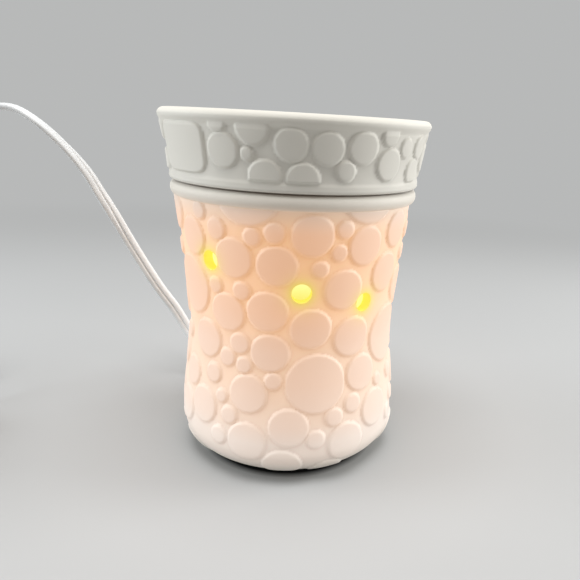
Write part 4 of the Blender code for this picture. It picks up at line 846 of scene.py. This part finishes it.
def rise_path():
    """The lead from the boot at the body's wall over its route to the switch."""
    straight = Vector((0.0, LEAD_WIDTH, 0.0))
    level = UNDERSIDE + EXIT_HEIGHT
    back = Vector((SWITCH_X, SWITCH_FROM + GAP, SWITCH_LEVEL))
    leave = float(wall_radius(EXIT_HEIGHT)) + BOOT_FLANGE + BOOT_LENGTH + 2 * GAP
    stub = spot(EXIT_ANGLE, leave + LEAD_WIDTH, level)
    return smooth_route(spot(EXIT_ANGLE, leave, level), [stub, *RISE_ROUTE, back + straight], back, LEAD_STEP)


def stored_path():
    """The lead from the switch round its corner, through the coil and on to the plug, as one path."""
    straight = Vector((0.0, LEAD_WIDTH, 0.0))
    coil = coil_path()
    front = Vector((SWITCH_X, SWITCH_FROM - SWITCH_LENGTH - GAP, SWITCH_LEVEL))
    entry = Vector(coil[0]) + Vector((GAP, 0.0, 0.0))
    first = front - straight
    last = entry + Vector((LEAD_WIDTH, 0.0, 0.0))
    corner = Vector((first.x, last.y, (first.z + last.z) / 2))
    turn = [first + (last - first) * 0.12 + (corner - first) * 0.42,
            first * 0.25 + last * 0.25 + corner * 0.5,
            last + (first - last) * 0.12 + (corner - last) * 0.42]
    link = smooth_route(front, [first, *turn, last], entry, LEAD_STEP)
    leave = Vector(coil[-1]) + Vector((0.0, GAP, 0.0))
    plug_end = Vector(PLUG_END)
    first = leave + straight
    last = plug_end - straight
    tail = smooth_route(leave, [first, (first + last) / 2, last], plug_end, LEAD_STEP)
    return np.vstack([link[:-1], coil, tail[1:]])


def plug_surface(along, inset):
    """Squarish ovals that widen by smooth steps from lead to blades, the sides lifted by sine ridges."""
    turns = -math.tau * np.arange(PLUG_SIDES) / PLUG_SIDES
    share = along / PLUG_LENGTH
    wide = PLUG_NECK_WIDE + (1.0 - PLUG_NECK_WIDE) * eased(share, *PLUG_WIDENS)
    wide = PLUG_WIDTH / 2 * wide - inset
    thick = PLUG_NECK_THICK + (1.0 - PLUG_NECK_THICK) * eased(share, *PLUG_THICKENS)
    thick = PLUG_THICKNESS / 2 * thick - inset
    across = signed_power(np.cos(turns), PLUG_SQUARENESS)
    up = signed_power(np.sin(turns), PLUG_SQUARENESS)
    wave = np.clip((share - PLUG_RIDGES_FROM) / PLUG_RIDGE_PITCH, 0.0, PLUG_RIDGES)
    ridge = PLUG_RIDGE * np.sin(math.pi * wave) ** 2
    side = np.sign(across) * eased(np.abs(across), *PLUG_RIDGE_SIDE)
    x = PLUG_END[0] + wide[:, None] * across + ridge[:, None] * side
    y = np.broadcast_to((PLUG_END[1] + GAP + along)[:, None], x.shape)
    return np.stack([x, y, PLUG_END[2] + thick[:, None] * up], axis=2)


def dimmed(colour, share):
    """A colour with each channel lowered to a share of it."""
    return [channel * share for channel in colour]


def bisque_finish(name, colour, lit_colour):
    """Unglazed porcelain: dry grain, faint cloudiness, a soft sheen, and a second colour where it is lit.

    Vertex layers say where: "through" for the second colour, painted light on the lit wall and painted shade
    deep in the bowl; "crease" for the painted shade at the feet of the bubbles; "halo" for the yellow round a
    hole; and "seam" for the shade under the dish's lip.
    """
    finish = Finish(name, Specular_IOR_Level=0.35, Sheen_Weight=0.04)
    cloud = finish.noise(38.0, 4.0)
    grain = finish.noise(2600.0, 2.0)
    # painted light: the lit wall takes a second, darker copy of the porcelain's colour; deep in the bowl the
    # same copy is painted shade
    pale = finish.mix(finish.attribute("through"), colour, lit_colour)
    shade = finish.mix(1.0, pale, (0.955, 0.955, 0.955), "MULTIPLY")
    # painted shade: the porcelain 8% darker at the feet of the bubbles
    crease = finish.mix(1.0, pale, (0.92, 0.92, 0.92), "MULTIPLY")
    tone_and_painted_light = finish.mix(finish.attribute("crease"), finish.mix(cloud, shade, pale), crease)
    yellow = (lit_colour[0], lit_colour[1] * 0.97, lit_colour[2] * 0.40)
    tone_and_painted_light = finish.mix(finish.attribute("halo"), tone_and_painted_light, yellow)
    finish.feed("Base Color", finish.mix(finish.attribute("seam"), tone_and_painted_light, SEAM_SHADE))
    finish.feed("Roughness", 0.50 + 0.16 * grain)
    finish.bump(grain, 0.10, 0.00012)
    return finish


def lit_bisque_finish(colours):
    """Bisque with the bulb behind it: light through the wall, less through bubbles, more round the holes."""
    finish = bisque_finish("lit_bisque", colours.dish_bisque, colours.bisque)
    # painted shade: the glow 10% weaker at the feet of the bubbles
    mottle_and_crease_shade = (0.94 + 0.12 * finish.noise(55.0, 3.0)) * (1.0 - 0.10 * finish.attribute("crease"))
    level = finish.attribute("through") * mottle_and_crease_shade
    grey = finish.node("ShaderNodeCombineColor", {}, {0: level, 1: level, 2: level})
    wall = finish.mix(finish.attribute("bubble"), colours.ground_glow, colours.bubble_glow)
    wall = finish.mix(finish.attribute("pale"), wall, colours.base_glow)
    lit = finish.mix(1.0, wall, grey, "MULTIPLY")
    lit = finish.mix(finish.attribute("halo"), lit, colours.halo_glow)
    finish.feed("Emission Color", finish.mix(finish.attribute("inside"), lit, colours.inside_glow))
    finish.constants(Emission_Strength=1.0)
    finish.material.cycles.emission_sampling = "NONE"
    return finish


def hole_finish():
    """The lit wall of a light hole: porcelain so close to the bulb that it glows all through."""
    finish = Finish("hole_wall", Base_Color=HOLE_PORCELAIN, Roughness=0.6, Emission_Strength=1.0)
    fade = finish.noise(420.0, 2.0)
    finish.feed("Emission Color", finish.mix(fade, HOLE_DEEP_GLOW, HOLE_PALE_GLOW))
    return finish


def globe_finish():
    """Frosted globe with the lamp alight inside: deep yellow low down, paler towards its middle."""
    finish = Finish("lit_globe", Base_Color=GLOBE_GLASS, Roughness=0.35, Emission_Strength=1.0)
    soft = finish.noise(80.0, 2.0)
    level = finish.node("ShaderNodeSeparateXYZ", {}, {0: finish.place()}, 2)
    bright = ((level - GLOBE_PALE_LEVEL) / GLOBE_PALE_OVER + 0.2 * (soft - 0.5)).clipped()
    finish.feed("Emission Color", finish.mix(bright, GLOBE_DEEP_GLOW, GLOBE_PALE_GLOW))
    return finish


def lead_finish(colours):
    """White flexible insulation: a slight satin with handling smudges."""
    finish = Finish("white_lead", Specular_IOR_Level=0.45)
    smudge = finish.noise(70.0, 4.0)
    finish.feed("Base Color", finish.mix(smudge, dimmed(colours.lead, 0.93), colours.lead))
    finish.feed("Roughness", 0.34 + 0.20 * smudge)
    finish.bump(finish.noise(300.0, 2.0), 0.04, 0.0001)
    return finish


def metal_finish(name, colour, roughness):
    """Plain metal with fine rolling marks and a few duller patches."""
    finish = Finish(name, Metallic=1.0)
    dull = finish.noise(160.0, 4.0)
    finish.feed("Base Color", finish.mix(dull, dimmed(colour, 0.86), colour))
    finish.feed("Roughness", roughness + 0.18 * dull)
    finish.bump(finish.noise(1800.0, 2.0), 0.10, 0.00008)
    return finish


def moulded_finish(name, colour, roughness):
    """Moulded plastic or rubber with a fine spark-eroded texture."""
    finish = Finish(name, Specular_IOR_Level=0.45)
    texture = finish.noise(2400.0, 2.0)
    cloud = finish.noise(60.0, 3.0)
    finish.feed("Base Color", finish.mix(cloud, dimmed(colour, 0.92), colour))
    finish.feed("Roughness", roughness + 0.15 * texture)
    finish.bump(texture, 0.12, 0.0001)
    return finish


class WARMER_OT_body(bpy.types.Operator):
    """Make the bubbled lamp body with its light holes and glow"""
    bl_idname = "warmer.body"
    bl_label = "Body"

    def execute(self, context):
        sizes = context.scene.warmer_sizes
        wall = body_wall()
        bubbles = body_bubbles(wall)
        runs = np.linspace(0.0, wall.run[-1], BODY_ROWS)
        profile = body_profile(wall, runs)
        points, turns = turned_grid(profile, COLUMNS)
        lift = sizes.body_relief * bubble_cover(turns[None, :], runs[:, None], bubbles, sizes.body_edge)
        push_out(points[:len(runs)], turns, lift)
        quads = grid_quads(len(profile), COLUMNS, wrap_rows=True)
        finish = lit_bisque_finish(context.scene.warmer_colours)
        body = add_piece("bubbled_body", points, quads, finish, "warmer", ["body"])
        tools = [(degrees, UNDERSIDE + height, LIGHT_HOLE / 2) for degrees, height in LIGHT_HOLES]
        tools.append((EXIT_ANGLE, UNDERSIDE + EXIT_HEIGHT, BOOT_NECK + GAP))
        drill(body, tools, hole_finish())
        self.shade(body, wall, bubbles, sizes)
        self.light(body)
        return {"FINISHED"}

    def shade(self, body, wall, bubbles, sizes):
        """Exact normals on the bubbled wall, and vertex layers for its bubbles and the painted shade round
        them.
        """
        turns, radius, height = turned_points(body, UNDERSIDE)
        run = wall.run_at(height)
        plain = (radius > wall_radius(height) - 0.2 * WALL) & (height < COLLAR_LEVEL + TOUCH)

        def shape(turn, along):
            lift = sizes.body_relief * bubble_cover(turn, along, bubbles, sizes.body_edge)
            return wall.radius_at(along) + lift, wall.height_at(along)

        set_wall_normals(body, wall_normals(turns, run, shape), plain)
        add_attribute(body, "bubble", plain * bubble_cover(turns, run, bubbles, sizes.body_edge))
        # where the painted shade at the feet of the bubbles goes
        add_attribute(body, "crease", plain * bubble_outline(turns, run, bubbles, BODY_CREASE))

    def light(self, body):
        """Vertex layers for the glow: light through the wall and its paleness by height, halos, inside."""
        turns, radius, height = turned_points(body, UNDERSIDE)
        inside = radius < wall_radius(np.clip(height, 0.0, COLLAR_LEVEL)) - 0.5 * WALL
        inside &= (height > INSIDE_LOW) & (height < INSIDE_HIGH)
        halo = np.zeros(len(radius))
        for degrees, level in LIGHT_HOLES:
            across = turn_apart(turns, math.radians(degrees)) * radius
            away = np.maximum(np.hypot(across, height - level) - LIGHT_HOLE / 2, 0.0)
            halo = np.maximum(halo, HALO * np.exp(-away / HALO_REACH))
        add_attribute(body, "pale", np.interp(height, *zip(*PALENESS)))
        # the share of light through the wall also picks the darker, painted-light copy of the porcelain
        add_attribute(body, "through", np.interp(height, *zip(*GLOW)))
        add_attribute(body, "halo", halo)
        add_attribute(body, "inside", inside.astype(float))


class WARMER_OT_dish(bpy.types.Operator):
    """Make the lift-off wax dish with its bubbled band"""
    bl_idname = "warmer.dish"
    bl_label = "Dish"

    def execute(self, context):
        sizes = context.scene.warmer_sizes
        colours = context.scene.warmer_colours
        wall = dish_wall()
        bubbles = dish_bubbles(wall)
        heights = np.linspace(LIP_ROUND, RIM_WIDEST, BAND_ROWS)
        runs = wall.run_at(heights)
        profile, first = dish_profile(heights)
        points, turns = turned_grid(profile, COLUMNS)
        lift = sizes.dish_relief * bubble_cover(turns[None, :], runs[:, None], bubbles, sizes.dish_edge)
        push_out(points[first:first + len(runs)], turns, dish_proud(heights[:, None], lift))
        quads = grid_quads(len(profile), COLUMNS)
        finish = bisque_finish("dish_bisque", colours.dish_bisque, colours.bisque)
        dish = add_piece("wax_dish", points, quads, finish, "dish", ["dish"])
        dish.data.set_sharp_from_angle(angle=SHARP_ANGLE)
        self.shade(dish, wall, bubbles, sizes)
        return {"FINISHED"}

    def shade(self, dish, wall, bubbles, sizes):
        """Exact normals on the bubbled band, and vertex layers for the painted shade of creases, bowl and
        seam.
        """
        turns, radius, height = turned_points(dish, DISH_EDGE)
        outer = radius > band_radius(height) - 0.2 * DISH_WALL

        def shape(turn, along):
            lift = sizes.dish_relief * bubble_cover(turn, wall.run_at(along), bubbles, sizes.dish_edge)
            return band_radius(along) + dish_proud(along, lift), along

        on_band = outer & (height > LIP_ROUND - TOUCH) & (height < RIM_WIDEST + TOUCH)
        set_wall_normals(dish, wall_normals(turns, height, shape), on_band)
        between = eased(height, LIP_HEIGHT - DISH_BUBBLE_START, LIP_HEIGHT)
        between = between * (1.0 - eased(height, *DISH_CREASE_END))
        # painted shade at the feet of the dish's bubbles, kept off the lip and the top of the band
        crease = bubble_outline(turns, wall.run_at(height), bubbles, DISH_CREASE)
        add_attribute(dish, "crease", outer * between * crease)
        # painted shade: deep in the bowl the porcelain takes the darker colour of the lit wall
        bowl = (radius < band_radius(height) - 0.5 * DISH_WALL) & (height > 0.5 * DISH_FLOOR - SPIGOT_DEPTH)
        deep = 1.0 - eased(height, DISH_HEIGHT - BOWL_SHADE_FROM, DISH_HEIGHT - BOWL_SHADE_TO)
        add_attribute(dish, "through", bowl * BOWL_SHADE * deep)
        below = radius > BAND_LOW_RADIUS - SEAM_WIDTH
        add_attribute(dish, "seam", below * (1.0 - eased(height, 0.0, SEAM_HEIGHT)))


class WARMER_OT_plug(bpy.types.Operator):
    """Make the moulded plug with finger ridges on its narrow sides"""
    bl_idname = "warmer.plug"
    bl_label = "Plug"

    def execute(self, context):
        bend = np.radians(np.linspace(0.0, 90.0, 7))
        straight = np.linspace(0.0, PLUG_LENGTH - PLUG_ROUND, 80)[:-1]
        along = np.concatenate([straight, PLUG_LENGTH - PLUG_ROUND * (1.0 - np.sin(bend))])
        inset = np.concatenate([np.zeros(len(straight)), PLUG_ROUND * (1.0 - np.cos(bend))])
        points = plug_surface(along, inset)
        quads = grid_quads(len(along), PLUG_SIDES)
        caps = end_caps(len(along), PLUG_SIDES)
        finish = moulded_finish("plug_moulding", WHITE_PLASTIC, 0.30)
        made = add_piece("plug_grip", points, quads, finish, "warmer", ["plug_body"], caps)
        made.data.set_sharp_from_angle(angle=SHARP_ANGLE)
        return {"FINISHED"}


class WARMER_OT_lead(bpy.types.Operator):
    """Make the flat twin lead: the rise to the switch, and the stored length with its coil"""
    bl_idname = "warmer.lead"
    bl_label = "Lead"

    def execute(self, context):
        sizes = context.scene.warmer_sizes
        finish = lead_finish(context.scene.warmer_colours)
        rise = rise_path()
        points, quads, caps = lead_tube(rise, RISE_FACING, sizes.lead_thickness, sizes.lead_groove)
        first = add_piece("lead_rise", points, quads, finish, "warmer", ["cord_rise"], caps)
        stored = stored_path()
        points, quads, caps = lead_tube(stored, STORED_FACING, sizes.lead_thickness, sizes.lead_groove)
        nodes = ["cord_link", "cord_coil", "cord_tail"]
        second = add_piece("lead_stored", points, quads, finish, "warmer", nodes, caps)
        return {"FINISHED"}


class WARMER_OT_fittings(bpy.types.Operator):
    """Give the solids that show as they are their own detailed finishes"""
    bl_idname = "warmer.fittings"
    bl_label = "Fittings"

    def execute(self, context):
        finishes = {
            metal_finish("zinc_steel", ZINC, 0.30): (
                "bottom_cover", "base_plate", "clamp_screw_1", "clamp_screw_2", "clamp_nut_1", "clamp_nut_2",
                "lock_nut", "nipple", "switch_screw_1", "switch_screw_2", "bulb_filament"),
            metal_finish("brass", BRASS, 0.24): (
                "lampholder_shell", "lampholder_contact", "terminal_screw_1", "terminal_screw_2",
                "plug_blade_1", "plug_blade_2"),
            metal_finish("tinned_cap", TIN, 0.28): ("bulb_cap", "bulb_tip"),
            moulded_finish("white_rubber", WHITE_RUBBER, 0.55): (
                "foot_1", "foot_2", "foot_3", "foot_4", "cord_boot", "boot_ring"),
            moulded_finish("black_phenolic", BLACK_PHENOLIC, 0.32): ("lampholder", "bulb_insulator"),
            moulded_finish("white_moulding", WHITE_PLASTIC, 0.30): (
                "switch_lower", "switch_upper", "switch_wheel"),
            moulded_finish("white_tie", WHITE_TIE, 0.45): ("coil_tie",),
            lead_finish(context.scene.warmer_colours): ("inner_lead_1", "inner_lead_2"),
            globe_finish(): ("bulb_glass", "bulb_stem"),
        }
        for finish, nodes in finishes.items():
            for node in nodes:
                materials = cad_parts[node].data.materials
                materials.clear()
                materials.append(finish.material)
        return {"FINISHED"}


class WARMER_OT_stage(bpy.types.Operator):
    """Make the pale floor and backdrop, the soft lights and the camera"""
    bl_idname = "warmer.stage"
    bl_label = "Stage"

    def execute(self, context):
        colours = context.scene.warmer_colours
        light = context.scene.warmer_light
        self.floor(colours)
        self.world(colours, light.ambient)
        for lamp, power in zip(LAMPS, (light.left, light.right, light.above)):
            self.lamp(*lamp, power)
        self.camera(context)
        context.scene.view_settings.view_transform = "Standard"
        return {"FINISHED"}

    def floor(self, colours):
        """A flat square grid; what the camera sees of it fades into the plain backdrop colour far away."""
        side = np.linspace(-FLOOR_REACH, FLOOR_REACH, FLOOR_LINES)
        x, y = np.meshgrid(side, side)
        points = np.stack([x, y, np.zeros_like(x)], axis=2)
        finish = Finish("pale_floor", Roughness=0.9, Specular_IOR_Level=0.0, Emission_Strength=1.0)
        away = finish.node("ShaderNodeVectorMath", {"operation": "LENGTH"}, {0: finish.place()}, "Value")
        far = ((away - FLOOR_FADE_FROM) / FLOOR_FADE).clipped()
        far = far * far * (3.0 - 2.0 * far)
        seen = sum(finish.node("ShaderNodeLightPath", {}, {}, ray) for ray in SEEING_RAYS).clipped()
        ground = finish.mix(finish.noise(6.0, 3.0), dimmed(colours.floor, 0.98), colours.floor)
        ground = finish.mix(far, ground, BLACK)
        under = ((UNDERSHADE_RADIUS - away) / UNDERSHADE_FADE).clipped()
        ground = finish.mix(under, ground, dimmed(colours.floor, UNDERSHADE))
        finish.feed("Base Color", finish.mix(seen, dimmed(colours.floor, 0.72), ground))
        finish.feed("Emission Color", finish.mix(seen * far, BLACK, colours.backdrop))
        finish.material.cycles.emission_sampling = "NONE"
        mesh = bpy.data.meshes.new("floor")
        quads = grid_quads(FLOOR_LINES, FLOOR_LINES, wrap_columns=False)
        mesh.from_pydata(points.reshape(-1, 3).tolist(), [], quads.tolist())
        mesh.materials.append(finish.material)
        made = bpy.data.objects.new("floor", mesh)
        bpy.context.scene.collection.objects.link(made)

    def world(self, colours, strength):
        """Even warm light from all round; the camera, metal and glass see the plain backdrop instead."""
        world = bpy.data.worlds.new("soft_room")
        bpy.context.scene.world = world
        world.use_nodes = True
        world.cycles.sampling_method = "NONE"
        tree = world.node_tree
        room = tree.nodes["Background"]
        room.inputs["Color"].default_value = (*ROOM_COLOUR, 1.0)
        room.inputs["Strength"].default_value = strength
        plain = tree.nodes.new("ShaderNodeBackground")
        plain.inputs["Color"].default_value = (*colours.backdrop, 1.0)
        ray = tree.nodes.new("ShaderNodeLightPath")
        seen = room.outputs["Background"]
        for kind in SEEING_RAYS:
            either = tree.nodes.new("ShaderNodeMixShader")
            tree.links.new(ray.outputs[kind], either.inputs["Fac"])
            tree.links.new(seen, either.inputs[1])
            tree.links.new(plain.outputs["Background"], either.inputs[2])
            seen = either.outputs["Shader"]
        tree.links.new(seen, tree.nodes["World Output"].inputs["Surface"])

    def lamp(self, name, place, size, colour, power):
        data = bpy.data.lights.new(name, "AREA")
        data.color = colour
        data.shape = "DISK"
        data.size = size
        data.energy = power
        made = bpy.data.objects.new(name, data)
        made.location = place
        made.rotation_euler = (Vector(LAMP_AIM) - Vector(place)).to_track_quat("-Z", "Y").to_euler()
        bpy.context.scene.collection.objects.link(made)

    def camera(self, context):
        """The photograph's view: a roll, a turn down, a turn right, and pixel lengths made the lens's."""
        data = bpy.data.cameras.new("photo_view")
        data.sensor_width = 36.0
        data.lens = FOCAL_PIXELS / FRAME_PIXELS * data.sensor_width
        data.shift_x = -SHIFT_PIXELS / FRAME_PIXELS
        data.clip_start = 0.01
        made = bpy.data.objects.new("photo_view", data)
        down = Matrix.Rotation(math.radians(90.0 - CAMERA_DOWN), 4, "X")
        roll = Matrix.Rotation(math.radians(CAMERA_ROLL), 4, "Z")
        turn = Matrix.Rotation(math.radians(-CAMERA_RIGHT), 4, "Z")
        made.matrix_world = Matrix.Translation(CAMERA_PLACE) @ turn @ down @ roll
        context.scene.collection.objects.link(made)
        context.scene.camera = made


class WARMER_PT_panel(bpy.types.Panel):
    bl_label = "Wax warmer"
    bl_idname = "WARMER_PT_panel"
    bl_space_type = "VIEW_3D"
    bl_region_type = "UI"
    bl_category = "Warmer"

    def draw(self, context):
        for group in (context.scene.warmer_sizes, context.scene.warmer_colours, context.scene.warmer_light):
            box = self.layout.box()
            for name in group.__annotations__:
                box.prop(group, name)
        for operator in OPERATORS:
            self.layout.operator(operator.bl_idname)


GROUPS = (("warmer_sizes", WarmerSizes), ("warmer_colours", WarmerColours), ("warmer_light", WarmerLight))
OPERATORS = (
    WARMER_OT_stage, WARMER_OT_plug, WARMER_OT_lead, WARMER_OT_body, WARMER_OT_dish, WARMER_OT_fittings,
)


def register():
    for name, group in GROUPS:
        bpy.utils.register_class(group)
        setattr(bpy.types.Scene, name, PointerProperty(type=group))
    for kind in (*OPERATORS, WARMER_PT_panel):
        bpy.utils.register_class(kind)


def unregister():
    for kind in reversed((*OPERATORS, WARMER_PT_panel)):
        bpy.utils.unregister_class(kind)
    for name, group in reversed(GROUPS):
        delattr(bpy.types.Scene, name)
        bpy.utils.unregister_class(group)


def main():
    register()
    bpy.ops.warmer.stage()
    bpy.ops.warmer.plug()
    bpy.ops.warmer.lead()
    bpy.ops.warmer.body()
    bpy.ops.warmer.dish()
    bpy.ops.warmer.fittings()


if __name__ == "__main__":
    main()
